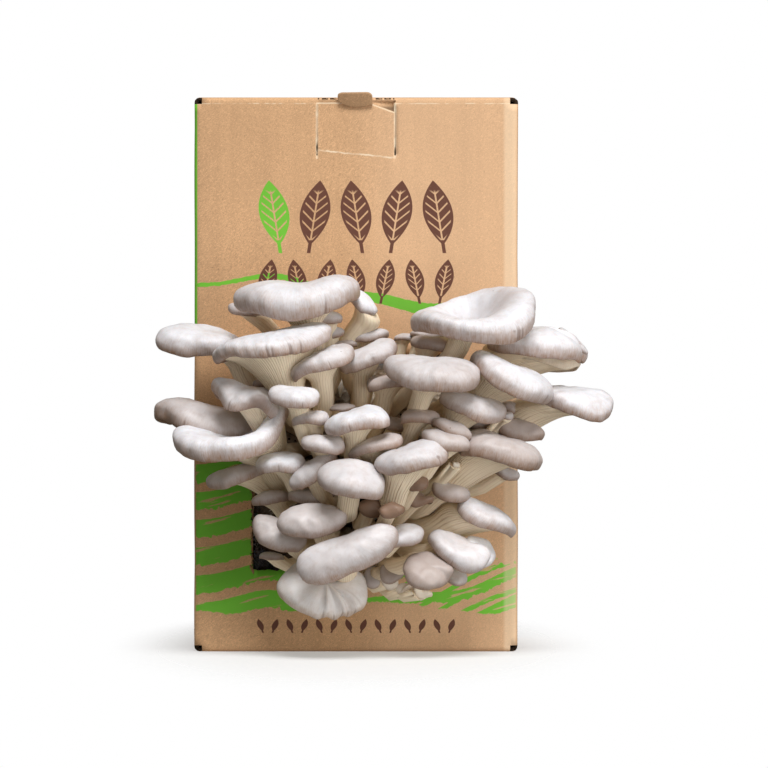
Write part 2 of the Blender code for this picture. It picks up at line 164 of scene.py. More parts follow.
# Each mushroom's cap as it is seen against the carton's front: its middle, how far it stands out,
# its width and seen height, and its tilt in degrees (right side down). Then, in shares of the cap's
# thickness, how deep its middle dips, how far its two sides bend up and how far its rim waves; in
# widths, how far the gills run down to the stem; in half widths, how far aside the stem joins; how
# stout the stem is for its cap; and where the seen height alone doesn't tell, how many degrees the
# cap faces the viewer and where on the block its foot stands. Tone runs from cream (-1) over pale
# grey (0) to brown (1).
# Lobes, splits and scars are at angles round the cap, with its right side at 0 and its front at -90:
# a lobe has its angle, spread, lift in thicknesses and reach in half widths; a split has its angle
# and depth in half widths; a scar has its angle, distance from the middle, size and strength. Fan is
# the way the stem runs into the cap, in degrees from upright to the right, where the rule is off.
MUSHROOMS = (
    Mushroom(-23.6, 147, 38, 50.6, 20, -5, dip=0.45, tone=0.2, splits=((-63, 0.3),)),
    Mushroom(-45.5, 141.5, 18, 15.5, 6, 5, drop=0.5, fan=-60, foot=(-20, 114), tone=0.4),
    Mushroom(-65, 128.5, 26, 34, 16, 6, dip=0.25, stout=1.2, aside=0.95, tone=0.12, splits=((-170, 0.2),)),
    Mushroom(
        -35.3, 126.6, 46, 48, 12, -13, drop=0.42, stout=1.2, tone=0.1,
        lobes=((-138, 26, 0.35, 0.03),),
        splits=((-93, 0.3), (-89, 0.2), (-71, 0.28), (-68, 0.16), (-57, 0.34)),
    ),
    Mushroom(
        -44, 104, 42, 31, 12, 18, drop=0.4, flute=0.35, tone=0.25,
        lobes=((-120, 22, -0.3, 0.05), (-70, 18, 0.3, -0.06), (178, 13, 0.2, 0.12)),
        splits=((-118, 0.3),), scars=((-76, 0.9, 0.3, 1.0),),
    ),
    Mushroom(-25.5, 105.5, 56, 22, 10, 5, tone=0.12, splits=((-72, 0.14),)),
    Mushroom(
        -61.5, 95, 22, 44, 15, 12, aside=0.9, tone=0.5,
        lobes=((150, 20, 0.0, -0.12), (180, 18, 0.0, 0.04), (-150, 20, 0.0, -0.1)),
        splits=((-115, 0.16),),
    ),
    Mushroom(
        -51, 84.5, 42, 46, 18.5, -8, dip=0.9, bend=0.65, aside=0.9, stout=1.2, tone=0.0,
        lobes=((5, 28, 0.5, 0.04),),
    ),
    Mushroom(-31.5, 78, 44, 20.5, 10.5, -4, drop=0.42, aside=0.7, tone=0.05, splits=((-92, 0.2),)),
    Mushroom(-49.5, 73, 28, 27, 8, -18, drop=0.4, aside=0.9, tone=0.4),
    Mushroom(-17.5, 75, 48, 23, 9, -36, tone=0.35),
    Mushroom(-13.5, 86, 54, 18, 9, 3, tone=0.4),
    Mushroom(-18.5, 96.5, 52, 15, 7, -4, tone=0.35),
    Mushroom(-13.5, 120, 46, 27.5, 10, -22, foot=(-18, 92), tone=0.3, splits=((-80, 0.16),)),
    Mushroom(5, 122, 36, 26, 10, -20, tone=0.3, scars=((-82, 0.95, 0.1, 0.7),)),
    Mushroom(5, 131, 20, 16.5, 6, -3, tone=0.35),
    Mushroom(-11.5, 138.5, 30, 12.5, 6, 8, foot=(-14, 107), tone=0.3),
    Mushroom(-10.5, 132.5, 26, 11, 5.5, 6, foot=(-11.5, 100), tone=0.3),
    Mushroom(
        3, 144.5, 26, 14, 8, 40, aside=0.9, drop=0.6, stout=1.5, fan=42, foot=(-16, 100), tone=0.1
    ),
    Mushroom(
        50, 138.5, 42, 53, 27, -2, dip=1.3, bend=0.2, aside=0.15, drop=0.15, stout=0.75, tone=0.12,
        lobes=((60, 30, 0.1, 0.0), (178, 16, -0.1, 0.05)),
        splits=((-49, 0.3), (-52, 0.24), (-46, 0.12)),
        # The first scar on this cap is painted shadow inside its hollow; the other two are brown marks at
        # its rim
        scars=((40, 0.25, 0.45, 0.5), (-50, 0.97, 0.05, 1.0), (-55, 0.95, 0.04, 0.8)),
    ),
    Mushroom(
        75, 127.5, 26, 38, 14.5, 6, aside=0.8, flute=0.1, tone=0.15,
        lobes=((-12, 15, -0.3, 0.03), (26, 15, -0.35, 0.22), (7, 7, 0.3, -0.18)),
    ),
    Mushroom(
        76, 120, 16, 32, 7.5, 8, aside=0.9, drop=0.5, pitch=-14, tone=-0.7, lobes=((-14, 14, 0.3, 0.14),)
    ),
    Mushroom(
        64.5, 113, 46, 38, 13.5, 26, drop=0.42, dip=0.2, aside=0.6, tone=0.15,
        scars=((-22, 0.97, 0.1, 0.6),),
    ),
    Mushroom(
        91, 103.5, 30, 33, 14.5, 8, drop=0.45, dip=0.25, aside=0.95, stout=1.5, tone=0.1,
        lobes=((-40, 22, 0.0, 0.03), (0, 22, 0.0, 0.02), (45, 20, 0.0, -0.03)), splits=((-40, 0.1),),
    ),
    Mushroom(32, 115, 56, 38.5, 16.5, 5, stout=0.8, foot=(22, 92), tone=0.4),
    Mushroom(14, 111.5, 38, 21.5, 7, -5, tone=0.7),
    Mushroom(32.5, 127.5, 30, 20, 6.5, 4, tone=0.7),
    Mushroom(48, 101.5, 46, 27.5, 11.5, 18, drop=0.4, stout=1.15, tone=0.4, splits=((-75, 0.14),)),
    Mushroom(67, 92, 34, 22.5, 9, 15, aside=0.7, tone=0.75),
    Mushroom(59.5, 83, 46, 36, 13.5, 14, drop=0.5, aside=0.7, stout=1.4, tone=0.6, splits=((-30, 0.22),)),
    Mushroom(26.5, 97, 50, 16.5, 7, 3, tone=0.75),
    Mushroom(39.5, 92.5, 52, 17, 6.5, 22, tone=0.6),
    Mushroom(37.5, 87, 56, 21, 8, 12, drop=0.5, tone=0.55),
    Mushroom(0.5, 95.5, 58, 27.5, 11.5, -12, tone=0.05, splits=((-105, 0.12),)),
    Mushroom(8.5, 85.5, 54, 24, 7, -18, tone=0.6),
    Mushroom(
        23, 80, 62, 29.5, 14, -14, drop=0.5, stout=1.25, tone=0.3,
        splits=((-42, 0.32),), scars=((-42, 0.9, 0.08, 1.0),),
    ),
    Mushroom(-2, 71, 62, 30, 17, 10, dip=-0.4, tone=0.35),
    Mushroom(6, 59.5, 50, 11, 8.5, 10, dip=-0.3, tone=1.0),
    Mushroom(15, 58.5, 60, 10.5, 7, -5, dip=-0.3, tone=1.0),
    Mushroom(25.5, 69.5, 57, 9.5, 6.5, -10, dip=-0.3, tone=0.95),
    Mushroom(25, 62.5, 46, 12, 7, 15, tone=0.9, lobes=((-25, 40, 0.8, 0.1),)),
    Mushroom(39, 66, 42, 17.5, 8, 15, aside=0.7, tone=0.6),
    Mushroom(54.5, 55.5, 40, 26.5, 11, 28, drop=0.55, aside=0.95, stout=1.7, tone=0.25),
    Mushroom(
        42, 42.5, 45, 25.5, 16, 28, dip=0.6, pitch=38, tone=0.3,
        lobes=((25, 30, 0.25, 0.05), (-24, 16, 0.1, 0.04)), splits=((-88, 0.12),),
    ),
    Mushroom(-3.5, 41, 58, 43, 20.5, -22, pitch=45, tone=0.4, splits=((10, 0.14),)),
    Mushroom(
        -13.5, 26.5, 38, 38.5, 27, 12, dip=0.4, flute=0.15, pitch=52, tone=-0.22,
        lobes=(
            (-90, 7, -0.1, 0.01), (-78, 5, 0.12, 0.02), (-66, 5, -0.12, -0.015), (-54, 5, 0.14, 0.02),
            (-43, 5, -0.14, -0.06), (-31, 6, 0.12, 0.01),
        ),
        splits=((-84, 0.42), (-67, 0.3), (-58, 0.42), (-45, 0.36), (-36, 0.2)),
        scars=((-90, 0.3, 1.6, 0.38),),
    ),
    Mushroom(
        -18, 54.5, 52, 29, 16, -5, flute=0.05, aside=0.7, pitch=38, tone=0.55,
        lobes=((-18, 30, 0.0, -0.08), (-100, 40, 0.0, 0.05), (40, 25, 0.0, 0.04)),
    ),
    Mushroom(-32, 49, 40, 24, 15, 20, pitch=40, tone=0.55),
    Mushroom(-35.5, 63.5, 30, 16, 6.5, -8, tone=0.5),
    Mushroom(-18.5, 64.5, 36, 19.5, 7, -3, tone=0.5),
    Mushroom(19.5, 48, 52, 16.5, 11.5, -15, pitch=40, tone=0.3),
    Mushroom(
        29.5, 33.5, 50, 20.5, 17, 18, flute=0.05, aside=0.7, pitch=50, tone=0.75,
        lobes=((-8, 12, -0.2, -0.03), (18, 18, 0.12, 0.03)),
        scars=((170, 0.4, 0.9, 0.5), (-110, 0.4, 0.7, 0.4)),
    ),
    Mushroom(42, 31, 30, 9, 8.5, 10, pitch=40, tone=0.4),
    Mushroom(15, 33, 34, 11, 10, -10, pitch=45, tone=0.7),
    Mushroom(52.5, 94, 30, 11.5, 5, 5, tone=0.5),
    Mushroom(17, 94, 32, 11.5, 7, 20, tone=0.6),
)

# Small sprouts and frills between the mushrooms, too small for solids of their own
SPROUTS = (
    Mushroom(-38.6, 111.1, 26, 9.1, 4.1, -5, tone=0.6),
    Mushroom(-5, 127.3, 24, 10.8, 3.7, -3, foot=(-0.5, 107), tone=0.5),
    Mushroom(20.3, 130.2, 20, 9.1, 3.3, 0, tone=0.5),
    Mushroom(29.9, 131.5, 22, 14.9, 3.7, 3, tone=0.6),
    Mushroom(63, 97.5, 40, 5, 5.4, 0, tone=0.4),
    Mushroom(63.4, 101.2, 28, 9.1, 5, 20, tone=0.6),
    Mushroom(-34.8, 39.4, 24, 10, 3.7, 5, tone=0.5),
    Mushroom(51.8, 89.2, 34, 10.8, 5, 5, tone=0.6),
    Mushroom(62.2, 73.8, 22, 10.8, 5.4, 15, tone=0.5),
    Mushroom(-6.6, 101.2, 34, 13.3, 3.3, 0, tone=0.6),
    Mushroom(7.5, 31.1, 26, 9.1, 10, 0, pitch=60, tone=0.6),
    Mushroom(21.6, 25.7, 24, 10.8, 5, 0, pitch=30, tone=-0.5, flute=0.9),
    Mushroom(13.5, 28.5, 28, 8.5, 5.5, 18, pitch=36, tone=-0.5, flute=0.6),
    Mushroom(27.5, 24, 28, 7.5, 4.5, 12, pitch=34, tone=-0.7, flute=0.6),
    Mushroom(41.5, 77.2, 48, 3.4, 3.4, 10, tone=-0.6),
    Mushroom(51.2, 41.8, 39.5, 16, 12, 52, flute=0.05, pitch=44, tone=-0.1),
    Mushroom(90, 128.8, 20, 15, 3.6, 42, drop=0.3, flute=0.05, aside=0.9, stout=0.6, foot=(34, 98)),
)


class Signal:
    """A value, vector or colour in a material. Sums on values add their Math nodes."""

    def __init__(self, look, socket):
        self.look = look
        self.socket = socket

    def maths(self, operation, *terms):
        settings = {"operation": operation}
        return self.look.node("ShaderNodeMath", settings, dict(enumerate(terms)))

    def __add__(self, other):
        return self.maths("ADD", self, other)

    __radd__ = __add__

    def __sub__(self, other):
        return self.maths("SUBTRACT", self, other)

    def __rsub__(self, other):
        return self.maths("SUBTRACT", other, self)

    def __mul__(self, other):
        return self.maths("MULTIPLY", self, other)

    def __truediv__(self, other):
        return self.maths("DIVIDE", self, other)

    def __mod__(self, other):
        return self.maths("FLOORED_MODULO", self, other)

    def __abs__(self):
        return self.maths("ABSOLUTE", self)

    def sine(self):
        return self.maths("SINE", self)

    def floor(self):
        return self.maths("FLOOR", self)

    def most(self, other):
        return self.maths("MAXIMUM", self, other)

    def angle_to(self, other):
        return self.maths("ARCTAN2", self, other)

    def rise(self, low, high):
        """0 below low and 1 above high, with a soft step between; high may be the smaller one."""
        values = {0: self, 1: low, 2: high, 3: 0.0, 4: 1.0}
        settings = {"interpolation_type": "SMOOTHSTEP"}
        return self.look.node("ShaderNodeMapRange", settings, values)

    def between(self, low, high, soft):
        """1 from low to high, with soft ends."""
        return self.rise(low - soft, low + soft) * self.rise(high + soft, high - soft)


class Look:
    """A material as it is put together round its shader."""

    def __init__(self, name, constants):
        self.material = bpy.data.materials.new(name)
        self.material.use_nodes = True
        self.tree = self.material.node_tree
        self.shader = self.tree.nodes["Principled BSDF"]
        for socket, value in constants.items():
            self.shader.inputs[socket].default_value = value

    def node(self, kind, settings, values, out=0):
        """Adds a node with its settings and inputs, and gives one of its outputs."""
        made = self.tree.nodes.new(kind)
        for name, setting in settings.items():
            setattr(made, name, setting)
        for socket, value in values.items():
            self.feed(made.inputs[socket], value)
        return Signal(self, made.outputs[out])

    def feed(self, socket, value):
        """Links a signal to a socket, or sets a plain value on it."""
        if isinstance(value, Signal):
            self.tree.links.new(value.socket, socket)
        else:
            socket.default_value = value

    def surface(self, name, value):
        """Feeds a socket of the shader."""
        self.feed(self.shader.inputs[name], value)

    def place(self):
        """Where a point is on the piece, in metres."""
        return self.node("ShaderNodeTexCoord", {}, {}, out="Object")

    def attribute(self, name):
        return self.node("ShaderNodeAttribute", {"attribute_name": name}, {}, out="Vector")

    def split(self, vector):
        """The three values of a vector."""
        made = self.node("ShaderNodeSeparateXYZ", {}, {0: vector})
        return [Signal(self, socket) for socket in made.socket.node.outputs]

    def join(self, x, y, z):
        return self.node("ShaderNodeCombineXYZ", {}, {0: x, 1: y, 2: z})

    def stretched(self, vector, scale, turn=(0.0, 0.0, 0.0)):
        """A vector turned, and then scaled along each axis."""
        turned = self.node("ShaderNodeMapping", {}, {"Vector": vector, "Rotation": turn})
        return self.node("ShaderNodeMapping", {}, {"Vector": turned, "Scale": scale})

    def noise(self, vector, scale, detail=2.0, roughness=0.5, distortion=0.0):
        values = {
            "Vector": vector,
            "Scale": scale,
            "Detail": detail,
            "Roughness": roughness,
            "Distortion": distortion,
        }
        return self.node("ShaderNodeTexNoise", {}, values)

    def cells(self, vector, scale, out="Distance"):
        return self.node("ShaderNodeTexVoronoi", {}, {"Vector": vector, "Scale": scale}, out=out)

    def mix(self, share, first, second):
        """A colour between two colours."""
        settings = {"data_type": "RGBA"}
        values = {0: share, 6: opaque(first), 7: opaque(second)}
        return self.node("ShaderNodeMix", settings, values, out=2)

    def layered(self, colour, *layers):
        """A colour with others laid over it in turn, each with its share first."""
        for share, above in layers:
            colour = self.mix(share, colour, above)
        return colour

    def relief(self, height, depth, below=None):
        """A bump of a height signal, its full depth in metres, over another bump if one is given."""
        values = {"Strength": 1.0, "Distance": depth, "Height": height}
        if below:
            values["Normal"] = below
        return self.node("ShaderNodeBump", {}, values)


def opaque(colour):
    """A colour with full alpha, where it is plain numbers."""
    return colour if isinstance(colour, Signal) else (*colour[:3], 1.0)


def shade(colour, share):
    """A colour darkened or lightened by a plain factor."""
    return tuple(channel * share for channel in colour[:3])


def ripples(points, size, seed, count=14):
    """Soft uneven relief, about -1 to 1, over points in millimetres with bumps about `size` wide."""
    draw = np.random.default_rng(seed)
    ways = draw.normal(size=(3, count))
    ways *= math.tau / size * draw.uniform(0.6, 1.3, count) / np.linalg.norm(ways, axis=0)
    phases = draw.uniform(0, math.tau, count)
    return np.sin(points @ ways + phases).sum(axis=-1) * math.sqrt(2 / count) / 1.6


def ripples_on(bm, size, seed, flat=(1, 1, 1)):
    """The same for each vertex of a bmesh; flat leaves out the axes that are 0 in it."""
    spots = np.array([vert.co for vert in bm.verts]) * np.array(flat)
    return ripples(spots, size, seed).tolist()


def as_mesh(name, bm):
    """A mesh of a bmesh, which is freed."""
    mesh = bpy.data.meshes.new(name)
    bm.to_mesh(mesh)
    bm.free()
    return mesh


def add_object(name, data):
    """An object of a mesh, light or camera in the scene."""
    added = bpy.data.objects.new(name, data)
    bpy.context.scene.collection.objects.link(added)
    return added


def finish(name, bm, looks, nodes, smooth):
    bmesh.ops.scale(bm, vec=(MM, MM, MM), verts=bm.verts)
    return set_up(name, as_mesh(name, bm), looks, nodes, smooth)


def set_up(name, mesh, looks, nodes, smooth=None):
    """A piece of a finished mesh; edges sharper than the angle `smooth` stay sharp."""
    for look in looks:
        mesh.materials.append(look.material)
    mesh.shade_smooth()
    if smooth:
        mesh.set_sharp_from_angle(angle=math.radians(smooth))
    made = add_object(name, mesh)
    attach(made, "root")
    if nodes:
        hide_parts(*nodes)
    return made


def thicken(made, thickness):
    """Gives a skin a wall on its inside."""
    wall = made.modifiers.new("wall", "SOLIDIFY")
    wall.thickness = thickness
    wall.offset = -1.0
    return wall


def rounded_box(low, high, rounding=0.0, segments=4):
    """A box between two corners, with its edges rounded where a radius is given."""
    bm = bmesh.new()
    bmesh.ops.create_cube(bm, size=1.0)
    low, high = Vector(low), Vector(high)
    bmesh.ops.scale(bm, vec=high - low, verts=bm.verts)
    bmesh.ops.translate(bm, vec=(low + high) / 2, verts=bm.verts)
    if rounding:
        round_edges(bm, bm.edges[:], rounding, segments)
    return bm


def round_edges(bm, edges, width, segments):
    """Rounds edges off."""
    bmesh.ops.bevel(
        bm,
        geom=edges,
        offset=width,
        offset_type="OFFSET",
        segments=segments,
        profile=0.5,
        affect="EDGES",
        material=-1,
    )


def cut_across(bm, axis, places, chosen=None):
    """Cuts straight through a bmesh at each place along an axis, or only its chosen faces."""
    for place in places:
        geom = bm.verts[:] + bm.edges[:] + bm.faces[:]
        if chosen:
            faces = [face for face in bm.faces if chosen(face.calc_center_median())]
            edges = {edge for face in faces for edge in face.edges}
            verts = {vert for face in faces for vert in face.verts}
            geom = [*verts, *edges, *faces]
        bmesh.ops.bisect_plane(bm, geom=geom, dist=1e-4, plane_co=axis * place, plane_no=axis)


def sliced_box(low, high, rounding, steps):
    """A rounded box whose skin is cut into strips along each axis, about a step apart."""
    bm = rounded_box(low, high, rounding)
    for axis, start, end, step in zip((X_AXIS, Y_AXIS, Z_AXIS), low, high, steps):
        cut_across(bm, axis, spaced(start, end, step))
    return bm


def cut_front(bm, front, half, low, high, step):
    """Cuts the part of a box's front that shows in the carton's window finely."""

    def in_sight(c):
        return c.y < front + 0.5 and abs(c.x) < half and low < c.z < high

    cut_across(bm, X_AXIS, spaced(-half, half, step), in_sight)
    cut_across(bm, Z_AXIS, spaced(low, high, step), in_sight)


def roughen(bm, coarse, fine, rise=0.0):
    """Moves a skin in and out; coarse and fine relief have a size, a seed and a height each."""
    bmesh.ops.recalc_face_normals(bm, faces=bm.faces)
    bm.normal_update()
    wide, small = (ripples_on(bm, size, seed) for size, seed, _ in (coarse, fine))
    for vert, first, second in zip(bm.verts, wide, small):
        vert.co += vert.normal * (coarse[2] * first + fine[2] * second + rise)


def spaced(low, high, step):
    """Evenly spaced places strictly between two ends, about a step apart."""
    count = max(1, round((high - low) / step))
    return [low + (high - low) * i / count for i in range(1, count)]


def remove_faces(bm, chosen):
    """Deletes the faces whose middle is chosen."""
    doomed = [face for face in bm.faces if chosen(face.calc_center_median())]
    bmesh.ops.delete(bm, geom=doomed, context="FACES")


class CartonSettings(bpy.types.PropertyGroup):
    """Sizes and colours of the carton"""

    width: bpy.props.FloatProperty(
        name="Width",
        description="Carton's width",
        default=CARTON_HIGH.x - CARTON_LOW.x,
        unit="LENGTH",
    )
    depth: bpy.props.FloatProperty(
        name="Depth",
        description="Carton's depth, front to back",
        default=2 * CARTON_HIGH.y,
        unit="LENGTH",
    )
    height: bpy.props.FloatProperty(
        name="Height", description="Height of the carton's top", default=0.23, unit="LENGTH"
    )
    board: bpy.props.FloatProperty(
        name="Board", description="Thickness of the board", default=0.0016, unit="LENGTH"
    )
    fold: bpy.props.FloatProperty(
        name="Fold", description="Radius of the board's folds", default=0.0021, unit="LENGTH"
    )
    kraft: bpy.props.FloatVectorProperty(
        name="Kraft", description="Colour of the board", subtype="COLOR", default=(0.62, 0.375, 0.203)
    )
    brown_ink: bpy.props.FloatVectorProperty(
        name="Brown ink",
        description="Colour of the leaf print",
        subtype="COLOR",
        default=(0.115, 0.04, 0.026),
    )
    green_ink: bpy.props.FloatVectorProperty(
        name="Green ink",
        description="Colour of the hills and the side panels",
        subtype="COLOR",
        default=(0.15, 0.52, 0.035),
    )


class CropSettings(bpy.types.PropertyGroup):
    """Colours and fine relief of the mushrooms"""

    skin: bpy.props.FloatVectorProperty(
        name="Skin", description="Palest cap skin", subtype="COLOR", default=(0.81, 0.835, 0.895)
    )
    # The skin near the rim, which is also painted shade over the lip
    margin: bpy.props.FloatVectorProperty(
        name="Margin", description="Skin near the rim", subtype="COLOR", default=(0.35, 0.2, 0.12)
    )
    brown: bpy.props.FloatVectorProperty(
        name="Brown", description="Skin of the brownest", subtype="COLOR", default=(0.37, 0.28, 0.23)
    )
    gill: bpy.props.FloatVectorProperty(
        name="Gills", description="Gills and stems", subtype="COLOR", default=(0.98, 0.845, 0.64)
    )
    # The colour of the lines between the gills, which are painted shade
    gill_line: bpy.props.FloatVectorProperty(
        name="Gill lines",
        description="Between the gills",
        subtype="COLOR",
        default=(0.42, 0.215, 0.085),
    )
    gill_spacing: bpy.props.FloatProperty(
        name="Gill spacing",
        description="Distance between gills at the rim",
        default=0.0014,
        unit="LENGTH",
    )
    gill_depth: bpy.props.FloatProperty(
        name="Gill depth", description="Height of the gills", default=0.0002, unit="LENGTH"
    )
    lumps: bpy.props.FloatProperty(
        name="Lumps", description="Height of the caps' soft lumps", default=0.0003, unit="LENGTH"
    )


class StageSettings(bpy.types.PropertyGroup):
    """Floor and lights"""

    floor: bpy.props.FloatVectorProperty(
        name="Floor", description="Colour of the floor", subtype="COLOR", default=(0.82, 0.82, 0.82)
    )
    key: bpy.props.FloatProperty(
        name="Key light", description="Strength of the high, soft key light", default=3.2
    )
    fill: bpy.props.FloatProperty(
        name="Fill light", description="Power of the fill light", default=2.3, unit="POWER"
    )
    sky: bpy.props.FloatProperty(
        name="Sky", description="Strength of the light from all round", default=0.19
    )


def leaf_row(x, z, middle, tall, pitch, count, wide, tilt):
    """Ink of a row of leaves, tilted left and right in turn; large ones have bare ribs and veins.

    Also where along the row a point is, in leaves.
    """
    cell = x / pitch + count / 2
    sway = cell.floor() % 2 * 2 - 1
    up = z - middle
    across = (cell % 1 - 0.5) * pitch - up * sway * tilt
    share = up / (tall / 2)
    blade = (1 - share * share) * (wide / 2) - abs(across)
    leaf = blade.rise(-0.05, 0.12)
    if tall > 10:
        tip = up.rise(tall * 0.3, tall * 0.36)
        rib = abs(across).rise(0.28, 0.42).most(tip)
        vein = (up - abs(across) * 0.9) / (tall / 7) % 1
        leaf = leaf * rib * abs(vein - 0.5).rise(0.44, 0.36).most(blade.rise(1.4, 0.9)).most(tip)
    thin = 0.035 * wide + 0.25
    stalk = abs(across).rise(thin + 0.1, thin) * up.between(-0.62 * tall, -0.42 * tall, 0.2)
    in_row = cell.between(0.0, float(count), 0.01)
    return leaf.most(stalk) * in_row, cell


def hills(look, place, x, z):
    """Green ink of a brushed, rolling field along the front's foot, and a loose wave above it."""
    brushed = look.noise(look.stretched(place, (60.0, 60.0, 520.0), (0.0, 0.25, 0.0)), 1.0, 3.0)
    rough = look.noise(place, 420.0, 2.0) - 0.5
    roll = z + (x / 19 + 0.8).sine() * 6.5 + (x / 8.3 + 2.1).sine() * 2.2
    thin = x.rise(-10.0, 35.0)
    bands = (roll * (math.tau / 11.5) + rough * 1.3).sine() + 0.45 - thin * 0.85
    scratch = z - x * 0.45 + (x / 11).sine() * 1.5
    strokes = (scratch * (math.tau / 6.2) + rough * 0.8).sine() - 0.62 + brushed * 0.3
    bands = bands.most(strokes + x.rise(30.0, -5.0) * -1.0)
    dry = brushed.rise(0.33, 0.4)
    crest = (x / 25 - 0.4).sine() * -9 - x * 0.28 + 62 + rough * 9
    foot = (x / 17 + 1.0).sine() * 2.5 + 18 + rough * 3
    field = (crest - z).rise(-0.4, 0.4) * (z - foot).rise(-0.3, 0.3)
    wave = (x / 23 + 3.4).sine() * 6 + 149 + (x / 7).sine() * 1.2
    slim = (x / 34 + 0.3).sine() * 0.9 + 1.7
    vine = (slim - abs(z - wave) + rough * 1.2).rise(-0.12, 0.12)
    return (bands + rough * 0.8).rise(-0.06, 0.06) * field * dry.most(0.15), vine


def front_print(look, place, x, y, z):
    """Masks of the brown and the green ink on the front."""
    tall_row, cell = leaf_row(x, z, middle=182.0, tall=27.0, pitch=17.0, count=5, wide=12.5, tilt=0.16)
    low_row, _ = leaf_row(x, z, middle=154.5, tall=16.5, pitch=12.2, count=7, wide=7.6, tilt=-0.2)
    seeds, _ = leaf_row(x, z, middle=11.0, tall=5.2, pitch=6.1, count=14, wide=2.6, tilt=0.35)
    bright = cell.rise(1.02, 0.98)
    field, vine = hills(look, place, x, z)
    on_front = y.rise(FRONT + 0.9, FRONT + 0.5)
    brown = (tall_row * (1 - bright)).most(low_row).most(seeds)
    green = (tall_row * bright).most(field.most(vine * (1 - low_row)))
    return brown * on_front, green * on_front


def side_print(look, place, x, y, z):
    """Mask of the green ink on the two side panels, with a brushed lower end."""
    streaks = look.noise(look.stretched(place, (90.0, 420.0, 22.0)), 1.0, 3.0)
    ends = z - (streaks - 0.5) * 60 - (y / 14).sine() * 5
    left = x.rise(-65.7, -66.0)
    right = x.rise(66.2, 66.6) * y.rise(FRONT + 3.5, FRONT + 4.0)
    return left.most(right) * ends.rise(129.0, 130.0)


def kraft_colour(look, place, kraft, darker=1.0):
    """Uncoated brown board: cloudy, with fibres and specks. Also its grain and its fibres."""
    cloud = look.noise(place, 55.0, 4.0, 0.6)
    grain = look.noise(place, 2400.0, 3.0, 0.7)
    bands = look.noise(look.stretched(place, (110.0, 110.0, 4.0)), 1.0, 3.0)
    fibre = look.noise(look.stretched(place, (900.0, 900.0, 3600.0), (0.0, 0.5, 0.0)), 1.0, 2.0)
    cross = look.noise(look.stretched(place, (3600.0, 900.0, 900.0), (0.0, -0.35, 0.0)), 1.0, 2.0)
    specks = look.cells(place, 260.0).rise(0.09, 0.05) * look.noise(place, 90.0).rise(0.5, 0.6)
    colour = look.layered(
        shade(kraft, 0.93 * darker),
        (cloud.rise(0.3, 0.7), shade(kraft, 1.06 * darker)),
        (bands.rise(0.4, 0.65) * 0.5, shade(kraft, 1.16 * darker)),
        (grain.rise(0.42, 0.62) * 0.6, shade(kraft, 0.7 * darker)),
        (fibre.rise(0.54, 0.68) * 0.6, shade(kraft, 1.36 * darker)),
        (cross.rise(0.56, 0.7) * 0.5, shade(kraft, 0.55 * darker)),
        (specks * 0.6, shade(kraft, 0.4)),
    )
    return colour, grain, fibre


def printed_board(carton):
    """The outside of the carton: kraft with its print, its torn and worn places and its seams, and painted
    light: paler towards the front's right, painted highlights by the right fold and along the tab's
    crease, and painted shade in the tab's dent and between the bare flutes.
    """
    look = Look("printed_board", {"Specular IOR Level": 0.3})
    place = look.place()
    x, y, z = (axis * 1000 for axis in look.split(place))
    base, grain, fibre = kraft_colour(look, place, carton.kraft)
    on_front = y.rise(FRONT + 1.2, FRONT + 0.8)
    brown, green = front_print(look, place, x, y, z)
    green = green.most(side_print(look, place, x, y, z))
    cover = 0.97 - grain.rise(0.62, 0.8) * 0.3
    uneven = look.noise(place, 14.0, 2.0).rise(0.3, 0.7)
    leaf_green = look.mix(uneven, shade(carton.green_ink, 0.9), shade(carton.green_ink, 1.12))
    # The bare flutes, with the gaps between them painted near black as painted shade
    flutes_and_gap_shade = look.mix(look.noise(place, 620.0, 2.0).rise(0.4, 0.55), PAINTED_GAP_SHADE, RAW_FLUTE)
    torn, painted_dent_shade = tear_line(look, place, x, y, z)
    colour = look.layered(
        base,
        # Painted light: the front is painted paler towards its right side, where the light falls
        (x.rise(-8.0, 20.0) * on_front * 0.3, PAINTED_LIGHT_KRAFT),
        (green * cover, leaf_green),
        (brown * cover, carton.brown_ink),
        # Bare flutes beside the window, with painted shade between them
        (raw_edge(look, place, x, y, z), flutes_and_gap_shade),
        # Painted shade in the dent beside the tongue
        (painted_dent_shade, shade(carton.kraft, 0.25)),
        # Torn paper fibres, and along the tab's crease a painted highlight of the raised fold
        (torn, TORN_PAPER_AND_HIGHLIGHT),
        # Painted highlight: a pale strip where the front bends back beside its right fold
        (x.rise(60.5, 62.4) * on_front * (0.26 + grain * 0.16), PAINTED_FOLD_HIGHLIGHT),
        # Folds rubbed paler, with a painted highlight on the right-hand upright folds
        (rubbed_and_lit_folds(look, place, x, y, z), shade(carton.kraft, 1.22)),
        (seams(look, place, x, y, z), shade(carton.kraft, 0.12)),
    )
    look.surface("Base Color", colour)
    look.surface("Roughness", 0.9 - green.most(brown) * 0.22 + grain * 0.08)
    flutes = (x * (math.tau / 6.4)).sine() * 0.5 + 0.5
    washboard = look.relief(flutes, 0.00006)
    look.surface("Normal", look.relief(grain + fibre * 0.6, 0.00002, washboard))
    return look


